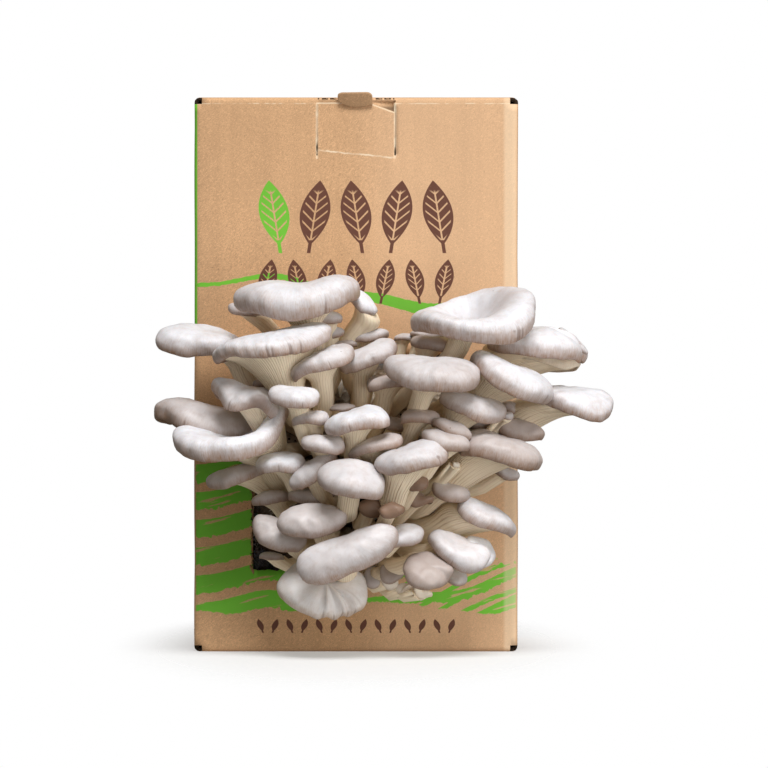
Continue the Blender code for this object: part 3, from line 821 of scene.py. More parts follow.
def tear_line(look, place, x, y, z):
    """Pale torn fibres round the tab and along the top's score; along the tab's crease a pale band of torn
    fibre that is also a painted highlight of the raised fold; and painted shade in the dent beside the
    tongue.
    """
    rough = (look.noise(place, 500.0, 3.0) - 0.5) * 1.6
    patchy = look.noise(place, 260.0, 2.0).rise(0.4, 0.6)
    on_front = y.rise(FRONT + 1.6, FRONT + 1.2)
    in_tab = abs(x).rise(HALF_TAB + 0.4, HALF_TAB)
    foot = 206.4 - x * 0.1
    # The crease band is torn fibre and a painted highlight of the raised fold
    torn_crease_and_highlight = abs(z - foot + rough * 0.6).rise(0.5, 0.1) * in_tab * (patchy * 0.5 + 0.4)
    slits = abs(abs(x) - HALF_TAB - rough * 0.3).rise(0.7, 0.3) * z.between(204.5, 227.5, 0.4)
    slits = slits * (patchy * 0.5 + 0.45)
    score = abs(z - 227.3 + rough * 0.4).rise(0.3, 0.1) * (patchy * 0.55 + 0.08)
    rim = 227.5 - (x - 5.2).most(0.0) * 0.37
    edge = abs(z - rim + rough * 0.2).rise(0.4, 0.15) * in_tab * 0.7
    # Painted shade: the dent beside the tongue is painted darker, most towards the right
    painted_dent_shade = (z - rim).rise(0.2, 0.6) * z.rise(227.2, 225.4)
    painted_dent_shade = painted_dent_shade * (x.rise(6.4, 7.4) * 0.45 + x.rise(8.0, 15.0) * 0.45) * in_tab * on_front
    return torn_crease_and_highlight.most(slits).most(score * (1 - in_tab)).most(edge) * on_front, painted_dent_shade


def raw_edge(look, place, x, y, z):
    """Where the print is torn off beside the window's lower left edge, and the flutes show, with painted
    shade in the gaps between them.
    """
    rough = (look.noise(place, 330.0, 3.0, 0.7) - 0.5) * 4.0
    beside = (x + HALF_WINDOW + rough + 0.8).rise(-0.2, 0.2) * z.between(34.5, 76.0, 2.0)
    return beside * x.rise(-41.0, -41.5) * y.rise(FRONT + 1.2, FRONT + 0.8)


def rubbed_and_lit_folds(look, place, x, y, z):
    """Where the folds are rubbed paler. The upright corner folds are also paler on the right side than on
    the left, which is a painted highlight.
    """
    rub = look.noise(place, 240.0, 3.0).rise(0.42, 0.62)
    edge_x = abs(x).rise(65.6, 66.8)
    edge_y = abs(y).rise(46.1, 47.3)
    edge_z = abs(z - 115).rise(113.7, 114.8)
    corner = (edge_x * edge_y * x.rise(-90.0, 60.0)).most(edge_x * edge_z).most(edge_y * edge_z)
    return corner * (0.35 + rub * 0.4)


def seams(look, place, x, y, z):
    """Thin dark gaps: beside the lid, and between the flaps underneath."""
    rough = (look.noise(place, 180.0, 2.0) - 0.5) * 0.5
    lid = abs(abs(x) - 65.3 + rough * 0.4).rise(0.3, 0.12) * z.rise(229.0, 229.4) * abs(y).rise(45.6, 45.0)
    flaps = abs(y + rough).rise(0.45, 0.2) * z.rise(0.6, 0.4) * abs(x).rise(65.0, 64.6)
    return lid.most(flaps) * 0.85


def bare_board(carton, name, shine, roughness, darker):
    """Board with no print on it."""
    look = Look(name, {"Specular IOR Level": shine, "Roughness": roughness})
    place = look.place()
    base, grain, fibre = kraft_colour(look, place, carton.kraft, darker)
    look.surface("Base Color", base)
    look.surface("Normal", look.relief(grain + fibre, 0.00005))
    return look


def cut_board(carton):
    """Cut edges, where the board's fluted middle shows between its two papers. The gaps between the flutes
    are painted near black as painted shade, and so are the cut edges in the corner notches.
    """
    look = Look("cut_board", {"Specular IOR Level": 0.2, "Roughness": 0.95})
    place = look.place()
    x, y, z = (axis * 1000 for axis in look.split(place))
    deep = y - FRONT
    wavy = (x * (math.tau / 3.1) + z * (math.tau / 3.1)).sine() * 0.45 + 0.8
    flute = abs(deep - wavy).rise(0.3, 0.12)
    papers = deep.rise(0.26, 0.14).most(deep.rise(1.34, 1.46))
    solid = flute.most(papers)
    torn = look.noise(place, 700.0, 3.0)
    raw = look.mix(torn.rise(0.35, 0.65), shade(carton.kraft, 0.55), shade(carton.kraft, 1.1))
    # Painted shade: near black in the corner notches and in the gaps between the flutes
    in_notch = abs(x).rise(63.3, 63.8) * abs(z - 115).rise(111.0, 111.5)
    look.surface("Base Color", look.mix(solid * (1 - in_notch), shade(carton.kraft, 0.05), raw))
    look.surface("Normal", look.relief(solid + torn * 0.5, 0.0003))
    return look


def open_window(bm):
    """Takes the board out of the window."""

    def in_window(c):
        return c.y < FRONT + 1 and abs(c.x) < HALF_WINDOW and WINDOW_BOTTOM < c.z < WINDOW_TOP

    remove_faces(bm, in_window)


def fray_window(bm):
    """Moves the window's cut edge in and out a little, as a saw knife leaves it."""
    rough = zip(bm.verts, ripples_on(bm, 5.0, 11), ripples_on(bm, 1.9, 12))
    for vert, ragged, fine in rough:
        x, y, z = vert.co
        in_height = WINDOW_BOTTOM - 0.1 < z < WINDOW_TOP + 0.1
        if y > FRONT + 1 or abs(x) > HALF_WINDOW + 0.1 or not in_height:
            continue
        give = 0.28 * ragged + 0.3 * fine
        if abs(abs(x) - HALF_WINDOW) < 0.01:
            vert.co.x += math.copysign(0.25 + give, x)
        if abs(z - WINDOW_TOP) < 0.01 or abs(z - WINDOW_BOTTOM) < 0.01:
            vert.co.z += give * 1.1


def open_slits(bm, carton):
    """The tab's two side slits, open here and there, and the pierced line along its top fold."""
    top = carton.height / MM
    foot = top - TAB_DROP

    def in_slit(c):
        return c.y < FRONT + 1 and abs(abs(c.x) - HALF_TAB) < HALF_SLIT and foot < c.z < top - SLIT_END

    def in_dash(c):
        in_line = c.y < FRONT + 2 and top - DASH_LOW < c.z < top - DASH_HIGH
        beside = DASH_START < abs(c.x) < HALF_TAB
        return in_line and beside and (abs(c.x) - DASH_START) % DASH_STEP < DASH_LENGTH

    remove_faces(bm, lambda c: in_slit(c) or in_dash(c))
    for vert in bm.verts:
        x, y, z = vert.co
        on_edge = y < FRONT + 1 and abs(abs(abs(x) - HALF_TAB) - HALF_SLIT) < 0.01
        if on_edge and foot - 0.1 < z < top - SLIT_END + 0.1:
            widest, spread = (1.0, 2.0) if x > 0 else (3.0, 1.6)
            gape = 0.02 + HALF_SLIT * math.exp(-(((z - foot - widest) / spread) ** 2))
            side = math.copysign(1.0, abs(x) - HALF_TAB)
            vert.co.x = math.copysign(HALF_TAB + side * gape, x)


def press_tab(bm, carton):
    """The tab gives inwards towards its top, and its right shoulder is dented."""
    top = carton.height / MM
    foot = top - TAB_DROP
    for vert in bm.verts:
        x, y, z = vert.co
        if y > FRONT + 1 or abs(x) > HALF_TAB - 0.02 or z < foot or z > top - 1.9:
            continue
        share = (z - foot) / TAB_DROP
        vert.co.y += 0.45 * share
        beyond = (x - 5.6) * 0.43 + (z - 227.6)
        if beyond > 0:
            vert.co.y += min(0.9, 0.28 * beyond)


def notch_corners(bm, carton):
    """Takes away the small corners of the front and back where the folded board leaves gaps."""
    inner = carton.width / MM / 2 - NOTCH_WIDTH
    top = carton.height / MM

    def in_notch(c):
        upright = abs(c.y) > -FRONT - 3.0 and abs(c.x) > inner
        above = top - NOTCH_DROP < c.z < top - NOTCH_LIP
        return upright and (above or NOTCH_LIP < c.z < NOTCH_FOOT)

    remove_faces(bm, in_notch)


def bow_panels(bm):
    """The panels aren't quite flat: they swell and dent by a few tenths of a millimetre."""
    for vert, swell in zip(bm.verts, ripples_on(bm, 70.0, 5)):
        x, y, _ = vert.co
        give = 0.22 * swell
        if y < FRONT + 0.5:
            vert.co.y -= give
        elif y > -FRONT - 0.5:
            vert.co.y += give
        elif abs(x) > 66.5:
            vert.co.x += math.copysign(give, x)


def carton_shell(carton):
    """The outer skin of the carton, cut into strips wherever it changes."""
    wide, deep, top = (size / MM for size in (carton.width, carton.depth, carton.height))
    low, high = (-wide / 2, -deep / 2, 0), (wide / 2, deep / 2, top)
    bm = sliced_box(low, high, carton.fold / MM, (6.0, 6.0, 6.0))
    notch = wide / 2 - NOTCH_WIDTH
    cut_across(bm, X_AXIS, (-notch, notch, -HALF_WINDOW, HALF_WINDOW))
    cut_across(bm, Z_AXIS, (NOTCH_FOOT, top - NOTCH_DROP, WINDOW_BOTTOM, WINDOW_TOP))
    open_window(bm)

    def by_window(c):
        band = abs(c.x) < HALF_WINDOW + 3 and WINDOW_BOTTOM - 3 < c.z < WINDOW_TOP + 3
        return c.y < FRONT + 0.5 and band

    cut_across(bm, Z_AXIS, spaced(WINDOW_BOTTOM, WINDOW_TOP, 0.9), by_window)
    cut_across(bm, X_AXIS, spaced(-HALF_WINDOW, HALF_WINDOW, 0.9), by_window)

    def by_tab(c):
        return c.y < FRONT + 2.2 and abs(c.x) < HALF_TAB + 4 and c.z > top - TAB_DROP - 3

    slits = [side * (HALF_TAB + edge) for side in (-1, 1) for edge in (-HALF_SLIT, HALF_SLIT)]
    cut_across(bm, X_AXIS, slits, by_tab)
    levels = [*spaced(top - TAB_DROP, top - 3, 1.0), top - SLIT_END, top - DASH_LOW, top - DASH_HIGH]
    cut_across(bm, Z_AXIS, levels, by_tab)
    cut_across(bm, X_AXIS, spaced(-HALF_TAB, HALF_TAB, 0.9), by_tab)
    return bm


def make_carton_board(carton):
    """The carton without its tongue: board that is printed outside, plain inside and cut at its edges."""
    bm = carton_shell(carton)
    fray_window(bm)
    open_slits(bm, carton)
    press_tab(bm, carton)
    notch_corners(bm, carton)
    bow_panels(bm)
    bmesh.ops.recalc_face_normals(bm, faces=bm.faces)
    inside = bare_board(carton, "plain_board", shine=0.25, roughness=0.93, darker=0.62)
    looks = [printed_board(carton), inside, cut_board(carton)]
    made = finish("carton_board", bm, looks, ["carton"], 50.0)
    wall = thicken(made, carton.board)
    wall.material_offset = 1
    wall.material_offset_rim = 2


def make_tongue(carton):
    """The tongue that leans forward out of the tab, with round shoulders and a torn foot."""
    top = carton.height / MM
    foot, tip, reach, board = top - 4.1, top + 1.75, 2.35, 1.25
    lean = math.atan2(reach, tip - foot)
    length = (tip - foot) / math.cos(lean)
    bm = rounded_box((-HALF_TONGUE, -board / 2, 0), (HALF_TONGUE, board / 2, length))
    shoulders = [e for e in bm.edges if all(v.co.z > length / 2 for v in e.verts)]
    shoulders = [e for e in shoulders if abs(e.verts[0].co.x - e.verts[1].co.x) < 0.1]
    round_edges(bm, shoulders, 2.2, 6)
    round_edges(bm, [e for e in bm.edges if e.calc_face_angle(0) > 1.0], 0.22, 2)
    cut_across(bm, X_AXIS, spaced(-HALF_TONGUE, HALF_TONGUE, 0.8))
    cut_across(bm, Z_AXIS, spaced(0, length, 0.8))
    for vert, torn in zip(bm.verts, ripples_on(bm, 3.0, 4, (1, 0, 0))):
        x, _, z = vert.co
        vert.co.y += 0.18 * math.sin(x / 3.1) * z / length
        left = math.exp(-(((x + HALF_TONGUE) / 3.0) ** 2))
        right = max(0.0, x / HALF_TONGUE) ** 2
        ragged = 0.15 * torn + 2.4 * left + 0.9 * right
        vert.co.z += ragged * (1 - z / length)
    bmesh.ops.rotate(bm, cent=(0, 0, 0), matrix=Matrix.Rotation(lean, 3, "X"), verts=bm.verts)
    bmesh.ops.translate(bm, vec=(-0.4, FRONT + 0.15, foot), verts=bm.verts)
    # The tongue is the carton's board painted darker: painted shade where it leans forward and faces down
    look = bare_board(carton, "shaded_tongue_board", shine=0.3, roughness=0.9, darker=0.8)
    finish("carton_tongue", bm, [look], (), 50.0)


def film_look():
    """Thin pale film, glossy and half clear, milky where it is crumpled."""
    look = Look("bag_film", {"Roughness": 0.16, "Specular IOR Level": 0.4})
    place = look.place()
    creases = look.noise(place, 85.0, 3.0, 0.5, 1.0)
    high = look.split(place)[2].rise(0.05, 0.07)
    milky = (look.noise(place, 46.0, 3.0, 0.5, 0.6) + high * 0.12).rise(0.5, 0.7)
    clear, white = (0.03, 0.04, 0.06), (0.3, 0.35, 0.34)
    look.surface("Base Color", look.mix(milky, clear, white))
    look.surface("Alpha", milky * 0.27 + 0.16)
    look.surface("Normal", look.relief(creases, 0.0025))
    return look


def in_bag_hole(place):
    """The knife's path through the film: wide of the middle, with flaps left hanging at the edges."""
    x, z = place.x, place.z
    side = 39.5 + 1.2 * math.sin(z / 6.3) + 0.6 * math.sin(z / 2.7)
    over = 119.5 + 1.2 * math.sin(x / 5.2) - 4.2 * math.exp(-(((x - 10.5) / 5.0) ** 2))
    under = 37.0 + 1.0 * math.sin(x / 7.0 + 1)
    corner = (x + HALF_WINDOW) + (z - WINDOW_BOTTOM) * 1.1 > 14.0
    return place.y < FRONT + 4 and abs(x) < side and under < z < over and corner


def make_bag(carton):
    """The crumpled bag, cut open in the window with its loose edges hanging out."""
    wide, deep = carton.width / MM / 2 - BAG_INSET, carton.depth / MM / 2 - BAG_INSET
    low, high = (-wide, -deep, BAG_INSET), (wide, deep, BAG_TOP)
    bm = sliced_box(low, high, 5.5, (4.0, 5.0, 4.0))
    remove_faces(bm, lambda c: c.y < -deep + 0.5 and abs(c.x) < 34 and 50 < c.z < 110)
    cut_front(bm, -deep, half=46, low=30, high=127, step=1.5)
    remove_faces(bm, in_bag_hole)
    edge = [vert for vert in bm.verts if vert.is_boundary]
    bmesh.ops.smooth_vert(bm, verts=edge, factor=0.5, use_axis_x=True, use_axis_z=True)
    roughen(bm, (14.0, 21, 0.2), (5.0, 22, 0.1))
    hang_flaps(bm, deep)
    made = finish("crumpled_bag", bm, [film_look()], ["grow_bag"], 70.0)
    thicken(made, FILM * MM)


def make_scrap():
    """A pointed scrap of film, stretched white, that hangs from the cut above the mushrooms' stems."""
    bm = bmesh.new()
    bmesh.ops.create_grid(bm, x_segments=6, y_segments=14, size=0.5)
    for vert in bm.verts:
        x, down = vert.co.x, 0.5 - vert.co.y
        wide = 5.2 * (1 - down) ** 0.7 + 0.3
        curl = 0.9 * math.sin(3.0 * down + 2.2 * x)
        forward = FRONT - 1.2 - 7.5 * down - curl
        vert.co = Vector((-5.6 + x * wide - 0.8 * down, forward, 119.0 - 13.4 * down))
    bmesh.ops.recalc_face_normals(bm, faces=bm.faces)
    look = Look("stretched_film", {"Roughness": 0.35, "Alpha": 0.92})
    milky = look.noise(look.stretched(look.place(), (500.0, 500.0, 90.0)), 1.0, 3.0)
    dull, white = (0.72, 0.75, 0.72), (0.95, 0.96, 0.94)
    look.surface("Base Color", look.mix(milky.rise(0.35, 0.65), dull, white))
    made = finish("film_scrap", bm, [look], (), 70.0)
    thicken(made, FILM * MM)


def hang_flaps(bm, deep):
    """Inside the window the loose film curls forward, most at its free edge."""
    for vert in bm.verts:
        x, y, z = vert.co
        if y > -deep + 1 or abs(x) > HALF_WINDOW or not WINDOW_BOTTOM < z < WINDOW_TOP:
            continue
        inside = min(HALF_WINDOW - abs(x), z - WINDOW_BOTTOM, WINDOW_TOP - z)
        curl = min(1.0, inside / 4.0)
        vert.co.y -= curl * (0.9 + 0.6 * math.sin(x / 2.3) * math.sin(z / 3.1))


def substrate_look():
    """Damp dark crumbs, knit together by patches and threads of white mycelium."""
    look = Look("substrate_crumb", {"Specular IOR Level": 0.35})
    place = look.place()
    dark, brown = (0.011, 0.006, 0.004), (0.06, 0.033, 0.017)
    pale_skin, brown_skin = (0.5, 0.43, 0.34), (0.3, 0.22, 0.15)
    mycelium = (0.62, 0.58, 0.5)
    crumbs = look.cells(place, 330.0)
    tint = look.cells(place, 330.0, "Color")
    patch = look.noise(place, 60.0, 5.0, 0.65)
    threads = abs(look.noise(place, 230.0, 5.0, 0.7, 0.8) - 0.5).rise(0.035, 0.008)
    crumb_colour = look.mix(look.split(tint)[0], dark, brown)
    white = patch.rise(0.6, 0.7).most(threads * patch.rise(0.48, 0.6))
    grown_over = look.split(place)[2].rise(0.052, 0.08) * patch.rise(0.36, 0.52)
    skin = look.mix(look.noise(place, 150.0, 3.0).rise(0.4, 0.65), pale_skin, brown_skin)
    knit = look.mix(white * 0.8, crumb_colour, mycelium)
    look.surface("Base Color", look.mix(grown_over * crumbs.rise(0.12, 0.2), knit, skin))
    look.surface("Roughness", 0.95 - crumbs.rise(0.5, 0.2) * 0.25)
    look.surface("Normal", look.relief(crumbs + patch * 2, 0.0012))
    return look


def make_substrate(carton):
    """The block of substrate, crumbly where it shows in the window."""
    wide, deep = carton.width / MM / 2 - BLOCK_INSET, carton.depth / MM / 2 - BLOCK_INSET
    low, high = (-wide, -deep, BLOCK_INSET), (wide, deep, BLOCK_TOP)
    bm = sliced_box(low, high, 5.1, (9.0, 9.0, 9.0))
    cut_front(bm, -deep, half=48, low=28, high=130, step=1.6)
    roughen(bm, (9.0, 31, 0.45), (3.6, 32, 0.35), rise=-0.75)
    finish("crumbly_block", bm, [substrate_look()], ["substrate_block"], None)


def wrap(angle):
    """Angles brought between minus and plus half a turn."""
    return np.remainder(angle + math.pi, math.tau) - math.pi


def spread_along(vector, amounts):
    """A vector times each of the amounts."""
    return np.multiply.outer(amounts, np.array(vector))


def hump(angle, at, spread):
    """1 at an angle in degrees round the cap, and falling off softly over a spread in degrees."""
    return np.exp(-((wrap(angle - math.radians(at)) / math.radians(spread)) ** 2))


def true_place(plan):
    """The cap's middle: on the line of sight through its seen place, `out` ahead of the front."""
    seen = Vector((plan.right, FRONT, plan.up))
    return seen.lerp(EYE, plan.out / EYE_DISTANCE)


def foot_place(plan):
    """Where the stem leaves the block: the crop fans out from a smaller patch in the window."""
    right, up = plan.foot or (0.44 * plan.right - 2.0, 0.58 * plan.up + 24.0)
    right = max(-WINDOW_REACH, min(WINDOW_REACH, right))
    up = max(FOOT_LOWEST, min(FOOT_HIGHEST, up))
    return Vector((right, FRONT + BLOCK_INSET - FOOT_GAP, up))


class Form:
    """The shape of one mushroom: ring(station, angles) gives points of its skin, in millimetres.

    Stations run from the middle of the cap over its rim (0 to 1), in under the gills (1 to 2) and
    down the stem to its foot (2 to 3).
    """

    def __init__(self, plan, seed):
        draw = random.Random(seed)
        shrink = 1 - plan.out / EYE_DISTANCE
        self.plan = plan
        self.width = plan.width * shrink
        self.half_width = self.width / 2
        self.thick = min(CAP_SHARE * self.width + THIN_CAP, 0.85 * plan.seen_height)
        self.stem = plan.stout * (THIN_STEM + STEM_SHARE * self.width)
        self.waves = [draw.uniform(0, math.tau) for _ in range(5)]
        self.frills = [draw.uniform(0, math.tau) for _ in range(4)]
        self.middle = true_place(plan)
        lean = self.lean_for(1.06 * plan.seen_height * shrink, plan.pitch)
        turn = Matrix.Rotation(math.radians(plan.tilt), 3, "Y") @ Matrix.Rotation(lean, 3, "X")
        self.across, self.back, self.normal = (turn.col[i].copy() for i in range(3))
        self.foot = foot_place(plan)
        self.set_joint()
        self.stem_line = self.stem_curve()

    def set_joint(self):
        """Where the stem joins the cap, how wide it is there, and where the cap's top dips."""
        to_foot = self.foot - self.middle
        toward = Vector((to_foot.dot(self.across), to_foot.dot(self.back)))
        toward = toward.normalized() if toward.length > 1e-6 else Vector((0.0, 1.0))
        self.toward = math.atan2(toward.y, toward.x)
        self.knee = self.stem + (0.08 + 0.52 * self.plan.drop) * self.half_width
        rim = Vector((self.half_width * toward.x, self.half_length * toward.y))
        self.joint = rim * self.plan.aside
        self.hollow = self.joint * min(1.0, HOLLOW_ASIDE / self.plan.aside)

    def stem_curve(self):
        """Four points that the stem's middle line follows from its foot up to its collar."""
        plan = self.plan
        fan_up = max(FAN_LEAST, plan.up - FAN_CENTRE_UP)
        fan = Vector((plan.right - FAN_CENTRE_RIGHT, -FAN_DEPTH * plan.out, fan_up))
        if plan.fan is not None:
            aside = math.radians(plan.fan)
            fan = Vector((math.sin(aside), -FAN_FORWARD, math.cos(aside)))
        into_cap = fan.normalized().lerp(self.normal, CAP_SWAY).normalized()
        joint = Vector(self.in_cap(self.joint.x, self.joint.y, 0.0))
        collar = joint - into_cap * (plan.drop * self.width)
        reach = (collar - self.foot).length * STEM_CURL
        return self.foot, self.foot - Y_AXIS * reach, collar - into_cap * reach, collar

    def lean_for(self, seen_height, pitch):
        """The lean towards the viewer that shows the cap's seen height; sets the cap's length too."""
        tall = 0.9 * self.thick
        if pitch is None:
            self.half_length = CAP_LENGTH * self.half_width
            length = 2 * self.half_length
            share = min(0.95, seen_height / math.hypot(length, tall))
            return math.asin(share) - math.atan2(tall, length)
        lean = math.radians(pitch)
        length = (seen_height - tall * math.cos(lean)) / math.sin(lean)
        self.half_length = max(0.45 * self.half_width, length / 2)
        return lean

    def in_cap(self, x, y, z):
        """A place given along the cap's own axes."""
        across, back = spread_along(self.across, x), spread_along(self.back, y)
        return np.array(self.middle) + across + back + spread_along(self.normal, z)

    def outline(self, angle):
        """The rim's distance from the middle, as a share, with a bay where the stem joins."""
        first, second, third = self.waves[:3]
        wobble = 0.05 * np.sin(2 * angle + first) + 0.03 * np.sin(3 * angle + second)
        wobble += 0.015 * np.sin(5 * angle + third)
        wobble += 0.0025 * np.sin(9 * angle + self.frills[0])
        wobble += 0.0015 * np.sin(14 * angle + self.frills[1])
        for at, spread, _, reach in self.plan.lobes:
            wobble += reach * hump(angle, at, spread)
        away = wrap(angle - self.toward)
        bay = 0.12 - 0.5 * max(0.0, self.plan.aside - 0.45)
        return 1 + wobble - bay * np.exp(-((away / 0.6) ** 2))

    def rim_lift(self, angle):
        """How far the rim waves and its lobes rise, in thicknesses."""
        fourth, fifth = self.waves[3:]
        lift = 0.5 * np.sin(2 * angle + fourth) + 0.35 * np.sin(3 * angle + fifth)
        lift = self.plan.flute * lift + self.plan.bend * np.cos(angle) ** 2
        lift += 0.012 * np.sin(7 * angle + self.frills[2]) + 0.006 * np.sin(12 * angle + self.frills[3])
        for at, spread, rise, _ in self.plan.lobes:
            lift += rise * hump(angle, at, spread)
        return lift

    def skin(self, angle, share, height):
        """Points of the cap: share runs from the middle to the rim, height is in thicknesses."""
        rim = self.outline(angle)
        x = self.half_width * rim * share * np.cos(angle)
        y = self.half_length * rim * share * np.sin(angle)
        z = self.thick * (height + share * share * self.rim_lift(angle))
        off = (x - self.hollow.x) ** 2 + (y - self.hollow.y) ** 2
        sink = np.exp(-off / (0.55 * self.half_width) ** 2) * max(0.0, height)
        return self.in_cap(x, y, z - self.plan.dip * self.thick * sink)

    def cap_section(self, station):
        """Share and height of the cap's cross-section: a bun whose edge rolls in underneath."""
        if station <= 0.75:
            swing = station / 0.75 * math.pi / 2
            return math.sin(swing) ** 0.8, 0.62 * math.cos(swing) ** 0.9
        swing = (station - 0.75) / 0.25 * math.radians(150)
        return 1 - 0.07 * (1 - math.cos(swing)), -0.3 * math.sin(swing)

    def stem_frame(self, share):
        """Point and ring axes of the stem at a share of its length, from foot (0) to collar (1)."""
        a, b, c, d = self.stem_line
        rest = 1 - share
        point = a * rest**3 + b * 3 * rest**2 * share + c * 3 * rest * share**2 + d * share**3
        along = (b - a) * rest**2 + (c - b) * 2 * rest * share + (d - c) * share**2
        turn = self.normal.rotation_difference(along.normalized())
        return point, turn @ self.across, turn @ self.back

    def stem_ring(self, angle, share):
        """Points round the stem at a share of its length."""
        point, across, back = self.stem_frame(share)
        radius = self.stem * (0.75 + 0.25 * share)
        ring = spread_along(across, np.cos(angle)) + spread_along(back, np.sin(angle))
        return np.array(point) + ring * radius

    def ring(self, station, angle):
        """Points of the skin at a station; under the cap the gills run from its lip to the stem."""
        if station <= 1:
            return self.skin(angle, *self.cap_section(station))
        if station >= 2:
            return self.stem_ring(angle, 3 - station)
        share = station - 1
        lip = self.skin(angle, *self.cap_section(1.0))
        knee_x = self.joint.x + self.knee * np.cos(angle)
        knee_y = self.joint.y + self.knee * np.sin(angle)
        knee = self.in_cap(knee_x, knee_y, np.full_like(angle, -0.25 * self.thick))
        collar = self.stem_ring(angle, 1.0)
        upper = lip + (knee - lip) * share
        return upper + (knee + (collar - knee) * share - upper) * share


class Detail:
    """How finely a mushroom is meshed, and the fine relief that the mesh then carries."""

    def __init__(self, plan, crop, seed):
        self.plan, self.crop, self.seed = plan, crop, seed
        around = math.pi * plan.width * 0.87
        wanted = around * MM / crop.gill_spacing
        self.gills = GILL_STEP * max(1, min(MOST_GILLS // GILL_STEP, round(wanted / GILL_STEP)))
        self.sides = 4 * self.gills
        self.stations = stations_for(*(FINE_RINGS if plan.width > FINE_FROM else FEW_RINGS))

    def pace(self):
        """Angles of the mesh's columns."""
        return np.arange(self.sides) * math.tau / self.sides

    def gill_relief(self):
        """Ridges under the cap, which merge in pairs on their way down and fade on the stem."""
        turn = self.pace()[None, :] * self.gills / math.tau
        ridge = 0.5 - np.abs(turn % 1 - 0.5) * 2
        merged = 0.25 - np.abs(turn / 2 % 1 - 0.5) * 0.5
        station = self.stations[:, None]
        down = np.interp(station, [1.5, 1.9], [0, 1])
        fade = np.interp(station, [1.02, 1.12, 1.8, 2.3], [0, 1, 1, 0])
        height = self.crop.gill_depth / MM * (self.gills / MOST_GILLS) ** 1.5
        return (ridge * (1 - down) + merged * down) * fade * height

    def lump_relief(self, grid):
        """Soft lumps of the cap and unevenness of the stem."""
        station = self.stations[:, None]
        cap = np.interp(station, [0, 0.7, 0.95, 1.05], [1, 1, 0.5, 0])
        size = 0.32 * self.plan.width + 3
        soft = ripples(grid, size, self.seed) * 0.008 * self.plan.width
        small = ripples(grid, 5.0, self.seed + 1) * self.crop.lumps / MM * 0.5
        stem = np.interp(station, [1.8, 2.3, 3], [0, 1, 1]) * ripples(grid, 6.0, self.seed + 2) * 0.3
        return cap * (soft + small) + stem

    def split_relief(self):
        """Depth of the splits at each point, and how strongly they show."""
        depth = np.zeros((len(self.stations), self.sides))
        station = self.stations[:, None]
        for at, reach in self.plan.splits:
            start = 0.75 * (1 - 1.6 * reach)
            along = np.interp(station, [start, 0.75, 0.97, 1.1], [0, 0.75, 1, 0])
            wander = 0.7 * np.sin(station * 9 + at)
            away = np.degrees(wrap(self.pace()[None, :] - math.radians(at))) + wander
            spread = 1.0 + 0.7 * along
            depth = np.maximum(depth, along * np.exp(-((away / spread) ** 2)))
        return depth

    def scar_strength(self):
        """How strongly the scars show at each point."""
        strength = np.zeros((len(self.stations), self.sides))
        share = np.interp(self.stations, [0, 0.75, 1, 3], [0, 1, 1.1, 3])[:, None]
        x, y = share * np.cos(self.pace()), share * np.sin(self.pace())
        for at, off, size, amount in self.plan.scars:
            away = np.hypot(x - off * math.cos(math.radians(at)), y - off * math.sin(math.radians(at)))
            strength = np.maximum(strength, amount * np.exp(-((away / size) ** 2)))
        return strength


def stations_for(cap, rim, under, stem):
    """Stations of the rings: over the cap, round its rim, under the gills and down the stem."""
    return np.concatenate(
        [
            np.linspace(0, 0.7, cap)[:-1],
            np.linspace(0.7, 1, rim)[:-1],
            np.linspace(1, 2, under)[:-1],
            np.linspace(2, 3, stem),
            [3.0],
        ]
    )


def outward(grid):
    """Unit normals of a grid of rings whose columns close into a loop."""
    round_it = np.roll(grid, -1, axis=1) - np.roll(grid, 1, axis=1)
    normal = np.cross(np.gradient(grid, axis=0), round_it)
    length = np.linalg.norm(normal, axis=2, keepdims=True)
    return normal / np.maximum(length, 1e-9)


def drum(sides, rings, drums):
    """A closed drum mesh of numbered rings, its first at the top, kept to be copied."""
    if (sides, rings) not in drums:
        bm = bmesh.new()
        last = rings - 1
        rungs = [bm.verts.new((float(0 < i < last), 0, -i)) for i in range(rings)]
        rails = [bm.edges.new(pair) for pair in zip(rungs, rungs[1:])]
        bmesh.ops.spin(
            bm,
            geom=rungs + rails,
            cent=(0, 0, 0),
            axis=(0, 0, 1),
            dvec=(0, 0, 0),
            angle=math.tau,
            steps=sides,
            use_merge=True,
        )
        bmesh.ops.remove_doubles(bm, verts=bm.verts, dist=0.001)
        bmesh.ops.recalc_face_normals(bm, faces=bm.faces)
        drums[sides, rings] = as_mesh(f"drum_{sides}_{rings}", bm)
    return drums[sides, rings].copy()


def rows_and_columns(mesh, sides):
    """The ring and the column that each vertex of a drum is in."""
    flat = np.empty(len(mesh.vertices) * 3)
    mesh.vertices.foreach_get("co", flat)
    x, y, z = flat.reshape(-1, 3).T
    column = np.rint(np.arctan2(y, x) / math.tau * sides).astype(int) % sides
    return np.rint(-z).astype(int), column


